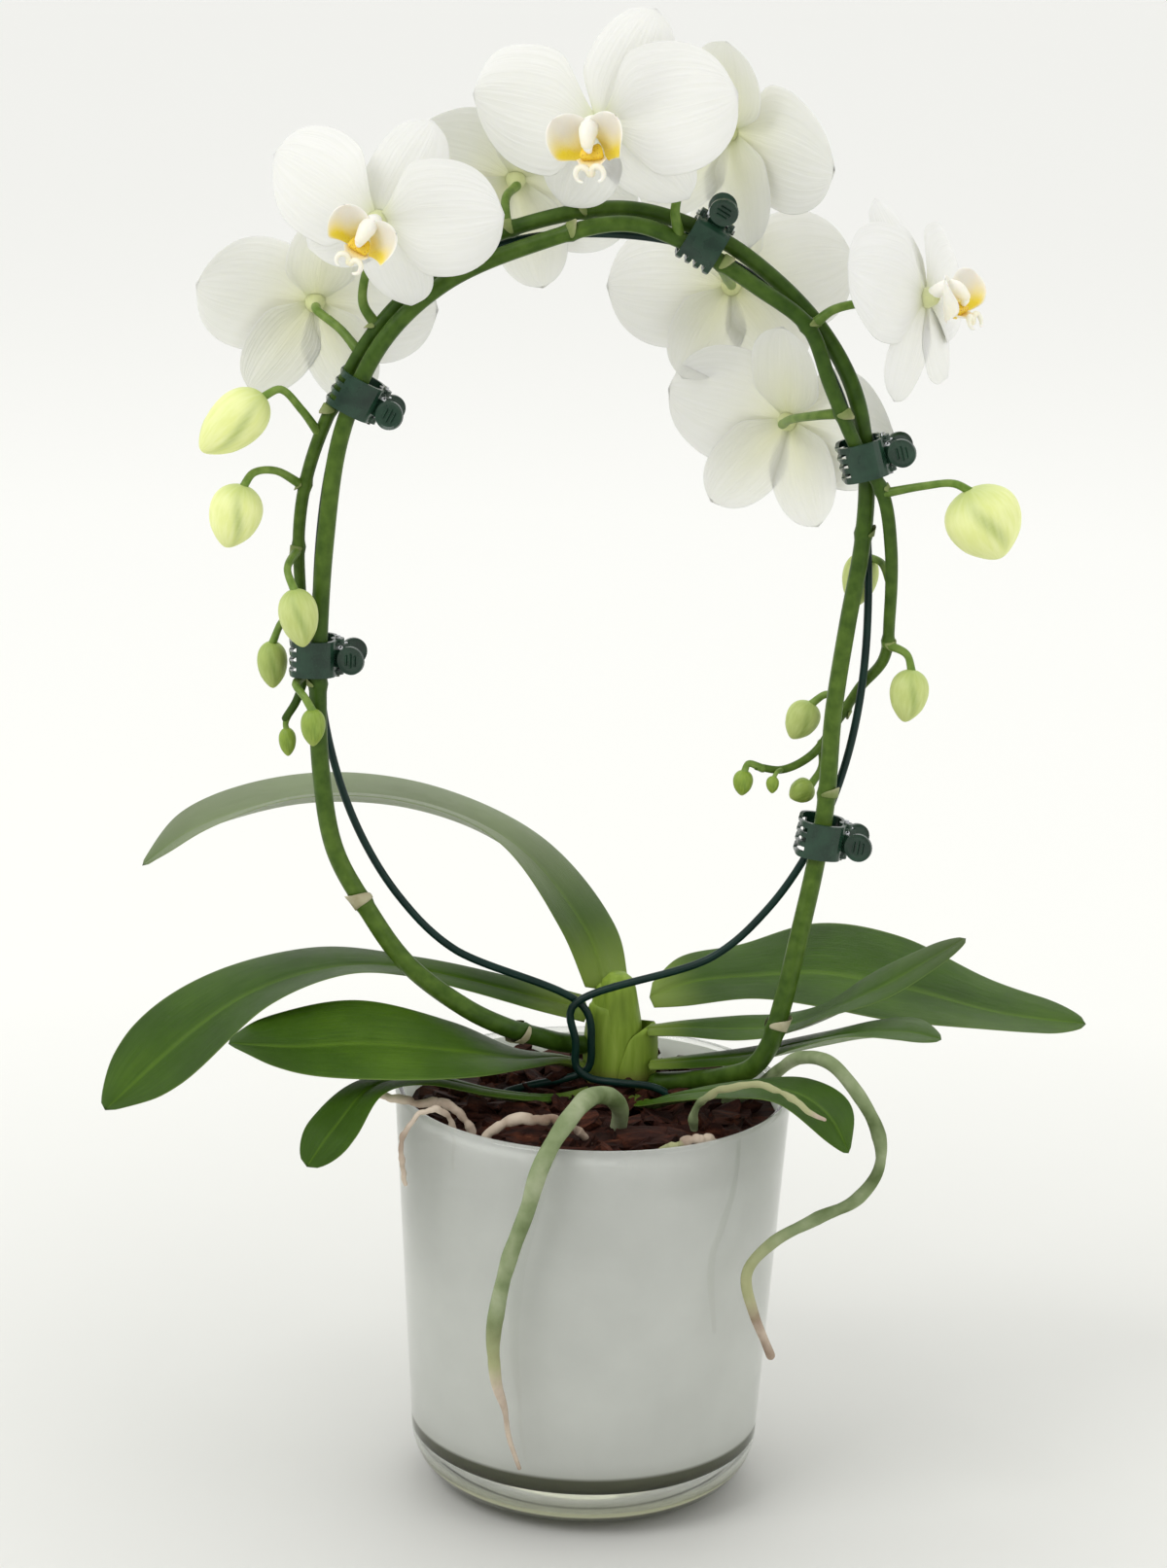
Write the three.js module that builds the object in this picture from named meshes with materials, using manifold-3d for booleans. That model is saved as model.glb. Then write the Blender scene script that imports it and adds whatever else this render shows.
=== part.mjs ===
// A moth orchid (Phalaenopsis) in a heavy glass pot, in millimetres, +Z up.
// The origin is the centre of the pot's foot, -Y is the plant's front and +X its right.
// Two flower spikes are trained round one bent wire hoop, which crosses itself above the
// bark and is pushed into it, and five small spring claw clips hold the spikes to the wire.
import * as THREE from "three";
import { mergeVertices } from "three/addons/utils/BufferGeometryUtils.js";
import Module from "manifold-3d";

const wasm = await Module();
wasm.setup();

// ---------------------------------------------------------------- driving dimensions

const GAP = 0.4; // clearance between pieces that touch on the real plant

const POT = {
  height: 146,
  rimRadius: 70,
  footRadius: 42,
  heelRadius: 20,
  lipRadius: 1.8,
  floorHeight: 13,
  floorRadius: 41,
  innerHeel: 15,
};
const BARK_TOP = 137;

const HOOP = {
  centre: [-5, 8.2, 312],
  halfWidth: 95,
  halfHeight: 134,
  wireRadius: 1.4,
  upperPower: 2.45, // a superellipse, squarer above than below
  lowerPower: 2.1,
  crossing: 1.6, // how far each leg stands off the hoop's plane where they cross
  steps: 84,
};

const CLIP = {
  width: 12.6,
  wall: 1.3,
  pinRadius: 0.9,
  coilRadius: 1.6,
  earRadius: 2.3,
  earHole: 1.25,
  earWidth: 1,
  hinge: -7.6, // the hinge pin lies this far behind the middle of the gripped stems
  padRadius: 4.9,
};

const FLOWER = { thickness: 1.1, receptacle: 4.2 };

// ---------------------------------------------------------------- geometry helpers

const vector = ([x, y, z]) => new THREE.Vector3(x, y, z);
const smoothCurve = (points) =>
  new THREE.CatmullRomCurve3(points.map(vector), false, "centripetal");

// A closed geometry as a manifold-3d solid, for cuts and joins.
function toSolid(geometry) {
  const bare = geometry.clone();
  bare.deleteAttribute("normal");
  bare.deleteAttribute("uv");
  const merged = mergeVertices(bare, 1e-4);
  return new wasm.Manifold(
    new wasm.Mesh({
      numProp: 3,
      vertProperties: new Float32Array(merged.attributes.position.array),
      triVerts: new Uint32Array(merged.index.array),
    }),
  );
}

function toGeometry(solid) {
  const { vertProperties, triVerts } = solid.getMesh();
  const geometry = new THREE.BufferGeometry();
  geometry.setAttribute(
    "position",
    new THREE.BufferAttribute(vertProperties, 3),
  );
  geometry.setIndex(new THREE.BufferAttribute(triVerts, 1));
  geometry.computeVertexNormals();
  return geometry;
}

const join = (geometries) =>
  toGeometry(
    geometries.map(toSolid).reduce((joined, next) => joined.add(next)),
  );

// Moves every vertex of a geometry by a function of its position.
function reshape(geometry, place) {
  const position = geometry.attributes.position;
  const point = new THREE.Vector3();
  for (let i = 0; i < position.count; i++) {
    place(point.fromBufferAttribute(position, i));
    position.setXYZ(i, point.x, point.y, point.z);
  }
  geometry.computeVertexNormals();
  return geometry;
}

// A closed cylinder bent along a curve. section(s, across, up) gives how far the ring
// point lies from the curve along its normal and binormal, with s from 0 to 1.
function bendCylinder(curve, steps, sides, section) {
  const { normals, binormals } = curve.computeFrenetFrames(steps, false);
  const centres = curve.getSpacedPoints(steps);
  return reshape(
    new THREE.CylinderGeometry(1, 1, 1, sides, steps),
    (p) => {
      const ring = Math.round((0.5 - p.y) * steps);
      const [a, b] = section(ring / steps, p.x, p.z);
      p.copy(centres[ring])
        .addScaledVector(normals[ring], a)
        .addScaledVector(binormals[ring], b);
    },
  );
}

// A round stem or root whose radius runs through the given values from end to end.
function taperedTube(points, radii, steps, sides) {
  return bendCylinder(smoothCurve(points), steps, sides, (s, x, z) => {
    const place = s * (radii.length - 1);
    const index = Math.min(Math.floor(place), radii.length - 2);
    const r = THREE.MathUtils.lerp(
      radii[index],
      radii[index + 1],
      place - index,
    );
    return [r * x, r * z];
  });
}

// A wire of one radius along a curve.
function wire(curve, radius, steps, sides) {
  const section = new THREE.Shape();
  for (let i = 0; i < sides; i++) {
    const angle = (2 * Math.PI * i) / sides;
    const corner = [radius * Math.cos(angle), radius * Math.sin(angle)];
    if (i) section.lineTo(...corner);
    else section.moveTo(...corner);
  }
  return new THREE.ExtrudeGeometry(section, {
    extrudePath: curve,
    steps,
    bevelEnabled: false,
  });
}

function ellipsoid(radii, centre, columns = 8, rows = 6) {
  return new THREE.SphereGeometry(1, columns, rows)
    .scale(...radii)
    .translate(...centre);
}

const root = new THREE.Group();

function addMesh(name, geometry, material, parent = root) {
  const mesh = new THREE.Mesh(geometry, material);
  mesh.name = name;
  parent.add(mesh);
  return mesh;
}

const finish = (color, roughness, metalness = 0, extra = {}) =>
  new THREE.MeshStandardMaterial({ color, roughness, metalness, ...extra });

const MATERIALS = {
  glass: finish(0xc3cac0, 0.05, 0, { transparent: true, opacity: 0.5 }),
  bark: finish(0x6b3b26, 0.95),
  wire: finish(0x11402f, 0.45),
  clip: finish(0x2f4a3c, 0.4),
  spring: finish(0xc8ccd0, 0.25, 1),
  leaf: finish(0x3f6b23, 0.4),
  stem: finish(0x4d7a28, 0.5),
  root: finish(0x7f9160, 0.8),
  petal: finish(0xf4f4f0, 0.6),
  lip: finish(0xf2d24a, 0.5),
};

// ---------------------------------------------------------------- pot and bark

// The pot's outer radius at a height above its heel.
function potRadius(z) {
  const heelTop = POT.footRadius + POT.heelRadius;
  const share = (z - POT.heelRadius) / (POT.height - POT.heelRadius);
  return THREE.MathUtils.lerp(heelTop, POT.rimRadius, share);
}

// Points of a quarter circle in the profile plane, from one angle to another.
function arcPoints(cx, cy, radius, from, to, count) {
  const points = [];
  for (let i = 0; i <= count; i++) {
    const angle = THREE.MathUtils.lerp(from, to, i / count);
    points.push(
      new THREE.Vector2(
        cx + radius * Math.cos(angle),
        cy + radius * Math.sin(angle),
      ),
    );
  }
  return points;
}

// Spins an (radius, height) profile round the upright axis.
const spin = (profile, segments) =>
  new THREE.LatheGeometry(profile, segments).rotateX(Math.PI / 2);

// The line inside the pot that its filling follows, from the floor's centre to a height.
function innerProfile(top, inset) {
  const { floorHeight, floorRadius, innerHeel } = POT;
  const wall = 2 * POT.lipRadius;
  return [
    new THREE.Vector2(0, floorHeight + inset),
    ...arcPoints(
      floorRadius,
      floorHeight + innerHeel,
      innerHeel - inset,
      -Math.PI / 2,
      0,
      3,
    ),
    new THREE.Vector2(potRadius(top) - wall - inset, top),
  ];
}

function makePot() {
  const { height, footRadius, heelRadius, lipRadius } = POT;
  const lipHeight = height - lipRadius;
  const lipCentre = potRadius(lipHeight) - lipRadius;
  const profile = [
    new THREE.Vector2(0, 0),
    ...arcPoints(footRadius, heelRadius, heelRadius, -Math.PI / 2, 0, 5),
    ...arcPoints(lipCentre, lipHeight, lipRadius, 0, Math.PI, 4),
    ...innerProfile(lipHeight, 0).reverse().slice(1),
  ];
  addMesh("glass_pot", spin(profile, 40), MATERIALS.glass);
}

// The potting bark fills the pot, and the two legs of the hoop are pushed into it.
function makeBark(legHoles) {
  const profile = [
    ...innerProfile(BARK_TOP, GAP),
    new THREE.Vector2(0.55 * POT.rimRadius, BARK_TOP),
    new THREE.Vector2(0, BARK_TOP),
  ];
  const solid = legHoles
    .map(toSolid)
    .reduce((left, hole) => left.subtract(hole), toSolid(spin(profile, 24)));
  addMesh("bark_mix", toGeometry(solid), MATERIALS.bark);
}

// Loose chips on top of the bark: centre x and y, length, width, thickness, heading.
const CHIPS = [
  [20, -38, 26, 11, 6, 20],
  [-8, -58, 24, 6, 5, -8],
  [-20, -30, 18, 12, 5, 35],
  [47, -20, 15, 11, 5, 65],
  [-46, 10, 20, 10, 5, 82],
  [36, 38, 22, 14, 6, -40],
];

function makeBarkChips() {
  CHIPS.forEach(([x, y, length, width, thickness, heading], index) => {
    const chip = new THREE.CylinderGeometry(0.42, 0.5, 1, 7).rotateX(
      Math.PI / 2,
    );
    chip.scale(length, width, thickness);
    const mesh = addMesh(`bark_chip_${index + 1}`, chip, MATERIALS.bark);
    mesh.position.set(x, y, BARK_TOP + GAP + thickness / 2);
    mesh.rotation.z = THREE.MathUtils.degToRad(heading);
  });
}

// ---------------------------------------------------------------- wire hoop

// A point of the hoop's outline; the angle runs clockwise from the bottom.
function hoopPoint(angle) {
  const { centre, halfWidth, halfHeight, upperPower, lowerPower } = HOOP;
  const side = -Math.sin(angle);
  const rise = -Math.cos(angle);
  const power = 2 / (rise > 0 ? upperPower : lowerPower);
  return [
    centre[0] + halfWidth * Math.sign(side) * Math.abs(side) ** power,
    centre[1],
    centre[2] + halfHeight * Math.sign(rise) * Math.abs(rise) ** power,
  ];
}

const LEG_DEPTH = 60; // height of the legs' ends inside the bark

function makeHoop() {
  const [, plane] = HOOP.centre;
  const front = plane - HOOP.crossing;
  const back = plane + HOOP.crossing;
  // The left half of the loop ends in the leg that crosses behind and turns left again.
  const leftFoot = [
    [-38, plane, LEG_DEPTH],
    [-38, plane, 100],
    [-37, plane, 128],
    [-33, plane, 138.5],
    [-23, plane + 0.5, 142.5],
    [-9, back, 145.5],
    [-2, back, 149],
    [-1, back, 158],
    [-4, back, 172],
  ];
  const rightFoot = [
    [-8, front, 173],
    [-6.5, front, 160],
    [-6, front, 150.5],
    [-1, front - 1, 147],
    [9, front - 3, 146.3],
    [22, 2, 145.3],
    [29, 1, 141],
    [31, 1, 130],
    [31, 1, 100],
    [31, 1, LEG_DEPTH],
  ];
  const loop = [];
  const turns = 26;
  for (let i = 2; i <= turns - 2; i++) {
    const [x, y, z] = hoopPoint((2 * Math.PI * i) / turns);
    const blend = (i - turns / 2) / (turns / 2);
    loop.push([x, y - HOOP.crossing * blend ** 3, z]);
  }
  const route = smoothCurve([...leftFoot, ...loop, ...rightFoot]);
  addMesh(
    "support_hoop",
    wire(route, HOOP.wireRadius, HOOP.steps, 6),
    MATERIALS.wire,
  );
  // The bark's two holes follow the wire's own line, a little wider than it.
  const line = route.getSpacedPoints(HOOP.steps);
  const buried = (p) => p.z < BARK_TOP;
  const aboveLeft = line.findIndex((p) => !buried(p)) + 2;
  const aboveRight = line.findLastIndex((p) => !buried(p)) - 1;
  const legHole = (points) =>
    wire(
      new THREE.CatmullRomCurve3(points),
      HOOP.wireRadius + 3 * GAP,
      2 * points.length,
      6,
    );
  return [legHole(line.slice(0, aboveLeft)), legHole(line.slice(aboveRight))];
}

// ---------------------------------------------------------------- crown and leaves

const CROWN = { x: 9, y: 20, bottom: 137.5, top: 171.5, radius: 9.2 };

function makeCrown() {
  const { x, y, bottom, top, radius } = CROWN;
  const axis = [
    [x, y, bottom],
    [x, y, (bottom + top) / 2],
    [x - 0.5, y, top],
  ];
  const geometry = taperedTube(
    axis,
    [0.8 * radius, radius, radius, 0.8 * radius],
    4,
    12,
  );
  addMesh("crown", geometry, MATERIALS.leaf);
}

// Each leaf runs from the crown to its tip between a back and a front edge.
// keel is how far the midrib lies below the edges, as a share of the half width.
const LEAVES = {
  upper_left: {
    back: [
      [12, 24, 175],
      [6, 42, 192],
      [-21, 60, 219],
      [-60, 64, 235],
      [-110, 62, 238],
      [-148, 55, 228],
      [-166, 44, 211],
    ],
    front: [
      [-3, 20, 174],
      [-14, 24, 196],
      [-38, 24, 227],
      [-70, 18, 242],
      [-105, 14, 243],
      [-135, 17, 231],
      [-161, 32, 212],
    ],
    keel: 0.22,
  },
  left: {
    back: [
      [-2.5, 25, 171],
      [-20, 22, 176],
      [-64, 17, 186],
      [-100, 15, 189],
      [-137, 10, 179],
      [-162, 3, 162],
      [-177, -8, 137],
    ],
    front: [
      [-2, 15, 164],
      [-20, 9, 170],
      [-45, 3, 178.5],
      [-66, -2, 184.5],
      [-88, -22, 189],
      [-112, -28, 180],
      [-143, -24, 150],
      [-165, -18, 136],
    ],
    keel: 0.2,
  },
  lower_left: {
    back: [
      [-1.5, 20, 147.5],
      [-12, 18, 151],
      [-28, 6, 157],
      [-50, -6, 170],
      [-83, -15, 179],
      [-110, -22, 176],
      [-128, -33, 172],
    ],
    front: [
      [-1.5, 15, 147],
      [-10, 12, 150],
      [-22, -4, 153],
      [-42, -32, 158],
      [-72, -48, 162],
      [-100, -54, 165],
      [-123, -46, 170],
    ],
    keel: 0.16,
  },
  lowest_left: {
    back: [
      [-1, 15, 140.2],
      [-14, 2, 141.5],
      [-34, -10, 147],
      [-60, -21, 156],
      [-83, -40, 158],
      [-96, -52, 149],
      [-103, -60, 138],
    ],
    front: [
      [-1, 10, 140],
      [-14, -5, 141.5],
      [-34, -18, 147],
      [-58, -29, 154.5],
      [-72, -46, 156],
      [-80, -62, 146],
      [-90, -68, 134],
    ],
    keel: 0.12,
  },
  right: {
    back: [
      [19.2, 27, 175],
      [30, 42, 181],
      [52, 56, 182],
      [80, 66, 187],
      [110, 64, 183],
      [145, 54, 171],
      [178, 42, 165],
    ],
    front: [
      [19.4, 18, 169.5],
      [32, 20, 169.5],
      [56, 24, 171],
      [80, 20, 170],
      [108, 15, 167],
      [145, 15, 164],
      [176, 26, 161],
    ],
    keel: 0.2,
  },
  right_raised: {
    back: [
      [19, 18, 163],
      [31, 18, 165],
      [51, 18, 167],
      [67, 16, 169],
      [81, 11, 175],
      [97, 6, 188],
      [126, -6, 208],
    ],
    front: [
      [18, 12, 161],
      [30, 8, 162.5],
      [51, -2, 164.5],
      [66, -6, 168],
      [81, -10, 176],
      [102, -15, 186],
      [130, -13, 206],
    ],
    keel: 0.18,
  },
  right_low: {
    back: [
      [19.6, 15, 151],
      [38, 12, 155],
      [60, 8, 160],
      [82, 0, 168],
      [100, -6, 175],
      [112, -10, 177],
      [122, -17, 175],
    ],
    front: [
      [19, 10, 149],
      [37, 5, 152],
      [55, -3, 157],
      [70, -14, 166],
      [88, -32, 176],
      [104, -36, 177],
      [118, -31, 174],
    ],
    keel: 0.16,
  },
  lowest_right: {
    back: [
      [17, 8, 139.6],
      [23, -5, 142.5],
      [31, -14, 149],
      [55, -24, 158],
      [74, -40, 164],
      [87, -56, 161],
      [89, -66, 149],
    ],
    front: [
      [11, 7.5, 139.4],
      [15, -9, 142],
      [26, -22, 148],
      [44, -38, 155],
      [62, -58, 161],
      [74, -70, 156],
      [84, -72, 147],
    ],
    keel: 0.14,
  },
};

const LEAF_STEPS = 12;
const LEAF_SIDES = 8;

// A leaf is a flattened cylinder whose rings stretch from one edge to the other.
function makeLeaf(name, { back, front, keel }) {
  const backEdge = smoothCurve(back);
  const frontEdge = smoothCurve(front);
  const middle = smoothCurve(
    Array.from({ length: LEAF_STEPS + 1 }, (_, i) =>
      backEdge
        .getPointAt(i / LEAF_STEPS)
        .lerp(frontEdge.getPointAt(i / LEAF_STEPS), 0.5)
        .toArray(),
    ),
  );
  // The folded side is the one that faces up half way along.
  const facing = backEdge.getPointAt(0.5).sub(frontEdge.getPointAt(0.5));
  const upward = middle.getTangentAt(0.5).cross(facing).z > 0 ? 1 : -1;
  const geometry = reshape(
    new THREE.CylinderGeometry(1, 1, 1, LEAF_SIDES, LEAF_STEPS),
    (p) => {
      const ring = Math.round((0.5 - p.y) * LEAF_STEPS);
      const s = ring / LEAF_STEPS;
      const across = backEdge
        .getPointAt(s)
        .sub(frontEdge.getPointAt(s))
        .multiplyScalar(0.5);
      const along = middle.getTangentAt(s);
      const up = new THREE.Vector3().crossVectors(along, across).normalize();
      const halfWidth = across.length();
      const thickness = 1.5 - 0.7 * s;
      const fold = upward * keel * halfWidth * (Math.abs(p.x) - 0.5);
      const lift = thickness * p.z * (1.1 - 0.5 * p.x * p.x) + fold;
      const x = p.x;
      p.copy(frontEdge.getPointAt(s))
        .lerp(backEdge.getPointAt(s), 0.5)
        .addScaledVector(across, x)
        .addScaledVector(up, lift);
    },
  );
  addMesh(`leaf_${name}`, geometry, MATERIALS.leaf);
}

// ---------------------------------------------------------------- flower spikes

const STEM_BACK = 3.2; // depth of the right spike along the hoop
const STEM_FRONT = -3.2; // depth of the left spike along the hoop

// The left spike rises from the crown's left, goes up the hoop's left side, over its top
// and down its right, and ends in a spray of buds that hangs inward.
const LEFT_SPIKE = {
  stem: [
    [-4.6, 17.5, 155.5],
    [-12, 12, 158],
    [-20, 4, 162.5],
    [-31, -5, 168.5],
    [-45, -8, 176],
    [-66, -6, 191],
    [-81, -4, 211],
    [-92, STEM_FRONT, 231],
    [-97, STEM_FRONT, 258],
    [-98.5, STEM_FRONT, 290],
    [-96.5, STEM_FRONT, 340],
    [-91, STEM_FRONT, 379],
    [-78, STEM_FRONT, 409],
    [-58, STEM_FRONT, 429],
    [-30, STEM_FRONT, 442.5],
    [2, STEM_FRONT, 451],
    [22, STEM_FRONT, 445.5],
    [48, STEM_FRONT, 430.5],
    [65, STEM_FRONT, 418],
    [73.5, STEM_FRONT, 398],
    [83, STEM_FRONT, 377.5],
    [92.5, STEM_FRONT, 362],
    [96.5, 0, 342],
    [97.5, 6, 318],
    [96.5, 11, 301],
    [89, 14.5, 290],
    [82, 15.5, 278],
    [73.5, 14.5, 265.5],
    [63, 11, 260.5],
    [54, 10, 261.5],
  ],
  radii: [3.5, 3.3, 3.2, 3.1, 3, 2.9, 2.8, 2.7, 2.4, 2, 1.3],
  steps: 50,
  // The stalk of each numbered flower leaves the stem at its first point.
  stalks: {
    5: [
      [21, STEM_FRONT, 446.5],
      [19, -5.5, 456],
      [21, -1, 464],
      [26, 11, 470],
      [32, 23, 475],
    ],
    6: [
      [35, STEM_FRONT, 437.5],
      [36.5, 10, 433.5],
      [38, 28, 429],
      [39.7, 48, 425],
    ],
    7: [
      [66, STEM_FRONT, 418],
      [73, -4, 424],
      [84, -2, 426.5],
      [93, 3, 426],
    ],
    8: [
      [77.5, STEM_FRONT, 389],
      [70, 3, 387],
      [62, 18, 383],
    ],
  },
  // Buds: their stalk's points, the last of which is the bud's base, then tip and width.
  buds: [
    {
      stalk: [
        [92.5, -4, 362],
        [106, -7, 365.5],
        [116, -9, 367],
        [122, -10, 364.5],
      ],
      tip: [133, -10, 342],
      width: 26,
    },
    {
      stalk: [
        [97, 8, 307],
        [104, 6, 304],
        [106, 4, 298],
      ],
      tip: [104, 2, 281],
      width: 13.5,
    },
    {
      stalk: [
        [97, 3, 330],
        [94, 12, 335],
        [88.5, 16.5, 336],
      ],
      tip: [86, 17.5, 318],
      width: 12.5,
    },
    {
      stalk: [
        [84, 15, 282],
        [78, 19, 286],
        [72, 19, 282],
      ],
      tip: [66, 18, 270],
      width: 12,
    },
    {
      stalk: [
        [76.5, 16, 269],
        [77, 17, 260.5],
        [73, 14, 254],
      ],
      tip: [66, 13, 250],
      width: 9,
    },
    {
      stalk: [
        [56, 10, 261],
        [51, 10, 262.5],
        [49.5, 10, 259],
      ],
      tip: [49, 10, 251],
      width: 7,
    },
    {
      stalk: [
        [63, 11, 260.5],
        [61, 7.5, 260.5],
        [59.5, 6.5, 258],
      ],
      tip: [59.5, 6.5, 253],
      width: 4.5,
    },
  ],
};

// The right spike leaves the crown low on the right, goes up the hoop's right side, over
// its top and down its left, and ends in a short spray of buds.
const RIGHT_SPIKE = {
  stem: [
    [23, 15, 143],
    [34, 9, 146],
    [46, -2, 151.5],
    [55.5, -10.5, 158],
    [61, -13, 167],
    [65, -11, 181],
    [70.5, -5, 206],
    [75, 0, 228],
    [78, 2, 250],
    [79.5, STEM_BACK, 284],
    [83, STEM_BACK, 315],
    [87, STEM_BACK, 345],
    [87, STEM_BACK, 370],
    [82, STEM_BACK, 395],
    [70, STEM_BACK, 416],
    [52, STEM_BACK + 0.5, 434],
    [32, STEM_BACK + 1, 447],
    [4, STEM_BACK + 1, 455],
    [-26, STEM_BACK + 1, 450.5],
    [-54, STEM_BACK + 1, 438],
    [-80, STEM_BACK, 413],
    [-94, STEM_BACK, 388],
    [-103, STEM_BACK, 363],
    [-106, STEM_BACK, 342],
    [-104.5, STEM_BACK, 312],
    [-103, STEM_BACK, 296],
    [-106, STEM_BACK, 283],
    [-110, STEM_BACK, 276],
  ],
  radii: [3.6, 3.4, 3.2, 3, 2.9, 2.8, 2.8, 2.7, 2.4, 2.1, 1.4],
  steps: 48,
  stalks: {
    1: [
      [-80.5, STEM_BACK, 413.5],
      [-85, 2, 421],
      [-84, 0, 432],
      [-79, -8, 444],
      [-75, -18, 451],
    ],
    2: [
      [-86, STEM_BACK, 404],
      [-93, 9, 411],
      [-101, 15, 416],
    ],
    3: [
      [-37, STEM_BACK + 1, 447],
      [-38, 12, 456],
    ],
    4: [
      [-11, STEM_BACK + 1, 455],
      [-10, 3, 467],
      [-7, -9, 480],
    ],
  },
  buds: [
    {
      stalk: [
        [-99.5, STEM_BACK, 376],
        [-105, -3, 385],
        [-112, -7, 392.5],
        [-118, -10, 390],
      ],
      tip: [-138, -14, 372],
      width: 18.5,
    },
    {
      stalk: [
        [-105, STEM_BACK, 358],
        [-114, -3, 364],
        [-121, -6, 363.5],
        [-124.5, -8, 358.5],
      ],
      tip: [-130, -8, 338],
      width: 18,
    },
    {
      stalk: [
        [-106, STEM_BACK, 336],
        [-109, -8, 331],
        [-106, -12.5, 324],
      ],
      tip: [-103, -12.5, 305],
      width: 13.5,
    },
    {
      stalk: [
        [-104.5, STEM_BACK, 311],
        [-111, 6, 310],
        [-115.5, 10, 300.5],
      ],
      tip: [-115, 10, 285],
      width: 10.5,
    },
    {
      stalk: [
        [-104, STEM_BACK, 291],
        [-106, -5, 290],
        [-102.5, -11, 287],
        [-99.5, -11.5, 282],
      ],
      tip: [-99.5, -11.5, 270],
      width: 8.5,
    },
    {
      stalk: [
        [-109, STEM_BACK, 277.5],
        [-110, STEM_BACK, 274],
        [-109.5, STEM_BACK, 271.5],
      ],
      tip: [-109, STEM_BACK, 262.5],
      width: 6,
    },
  ],
};

const STALK_RADIUS = 1.5;
const FOOT = 5.4; // a stalk ends this far behind its flower's middle

// A bud is an egg whose wide end is nearer its stalk.
function budGeometry({ stalk, tip, width }) {
  const base = vector(stalk[stalk.length - 1]);
  const end = vector(tip);
  const length = base.distanceTo(end);
  const egg = reshape(new THREE.SphereGeometry(0.5, 7, 6), (p) => {
    const swell = 1 - 0.35 * p.y;
    p.set(p.x * width * swell, p.y * length, p.z * width * 0.86 * swell);
  });
  const turn = new THREE.Quaternion().setFromUnitVectors(
    new THREE.Vector3(0, 1, 0),
    end.clone().sub(base).normalize(),
  );
  const overlap = 1.2; // how far the bud swallows the end of its stalk
  const middle = base.clone().lerp(end, 0.5 - overlap / length);
  return egg.applyQuaternion(turn).translate(middle.x, middle.y, middle.z);
}

function makeSpike(name, { stem, radii, steps, stalks, buds }) {
  const pieces = [taperedTube(stem, radii, steps, 6)];
  for (const [number, points] of Object.entries(stalks)) {
    const { at, faces } = FLOWERS[number - 1];
    const foot = vector(at).addScaledVector(vector(faces).normalize(), -FOOT);
    const route = [...points, foot.toArray()];
    pieces.push(taperedTube(route, [STALK_RADIUS * 1.3, STALK_RADIUS], 6, 5));
  }
  for (const bud of buds) {
    const thin = Math.min(1.3, bud.width / 6);
    pieces.push(taperedTube(bud.stalk, [1.3 * thin, thin], 4, 5));
    pieces.push(budGeometry(bud));
  }
  addMesh(name, join(pieces), MATERIALS.stem);
}

// ---------------------------------------------------------------- flowers

// Each flower: where its petals meet, the way it faces, the way its top points and its
// half width. Where a flower is lopsided: its top sepal's and its petals' headings, and
// how far its top sepal and its other sepals lean back, in degrees.
const FLOWERS = [
  {
    at: [-79, -31, 453],
    faces: [-0.3, -0.91, -0.27],
    top: [0.5, 0, 1],
    reach: 41,
    dorsalBack: 30,
    rightPetal: 92,
    leftPetal: 60,
  },
  { at: [-103, 28, 417.5], faces: [-0.12, 0.97, 0.2], top: [0.1, 0, 1], reach: 41 },
  { at: [-35.2, 32, 461], faces: [-0.1, 0.93, 0.35], top: [0.3, 0, 1], reach: 42 },
  {
    at: [-7, -27, 486],
    faces: [-0.26, -0.93, -0.25],
    top: [-0.12, 0, 1],
    reach: 45,
    dorsal: -32,
    rightPetal: 77,
  },
  { at: [37.5, 34, 479], faces: [0.5, 0.84, 0.25], top: [0.3, 0, 1], reach: 44 },
  { at: [41, 69.5, 421], faces: [0.02, 0.97, -0.2], top: [-0.14, 0, 1], reach: 43 },
  {
    at: [105, 3, 428],
    faces: [0.84, -0.5, 0.2],
    top: [-0.15, 0, 1],
    reach: 41,
    sepalBack: 4,
    rightPetal: 64,
  },
  { at: [62, 44, 378], faces: [0.45, 0.88, 0.1], top: [0.12, 0, 1], reach: 43 },
];

// A tepal is a thin curved plate. Its outline is an oval drawn in at the base, to waist
// times the oval's own width; angle is its heading in the flower's plane, and back how far
// it leans away from the way the flower faces.
function tepal({ angle, length, width, waist, back, curl }) {
  const plate = new THREE.BoxGeometry(1, 1, 1, 2, 5, 1);
  reshape(plate, (p) => {
    const t = 0.5 + 0.5 * Math.sin(Math.PI * p.y);
    const oval = Math.sqrt(1 - Math.abs(2 * t - 1) ** 2.2);
    const base = THREE.MathUtils.lerp(waist, 1, THREE.MathUtils.smoothstep(t, 0, 0.35));
    const halfWidth = 0.5 * width * Math.max(oval * base, 0.14);
    const x = 2 * p.x * halfWidth;
    const cup = 0.1 * halfWidth * (2 * p.x) ** 2;
    const bend = curl * length * t * t;
    p.set(x, t * length, FLOWER.thickness * p.z - cup - bend);
  });
  return plate
    .rotateX(-THREE.MathUtils.degToRad(back))
    .rotateZ(THREE.MathUtils.degToRad(angle));
}

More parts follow.
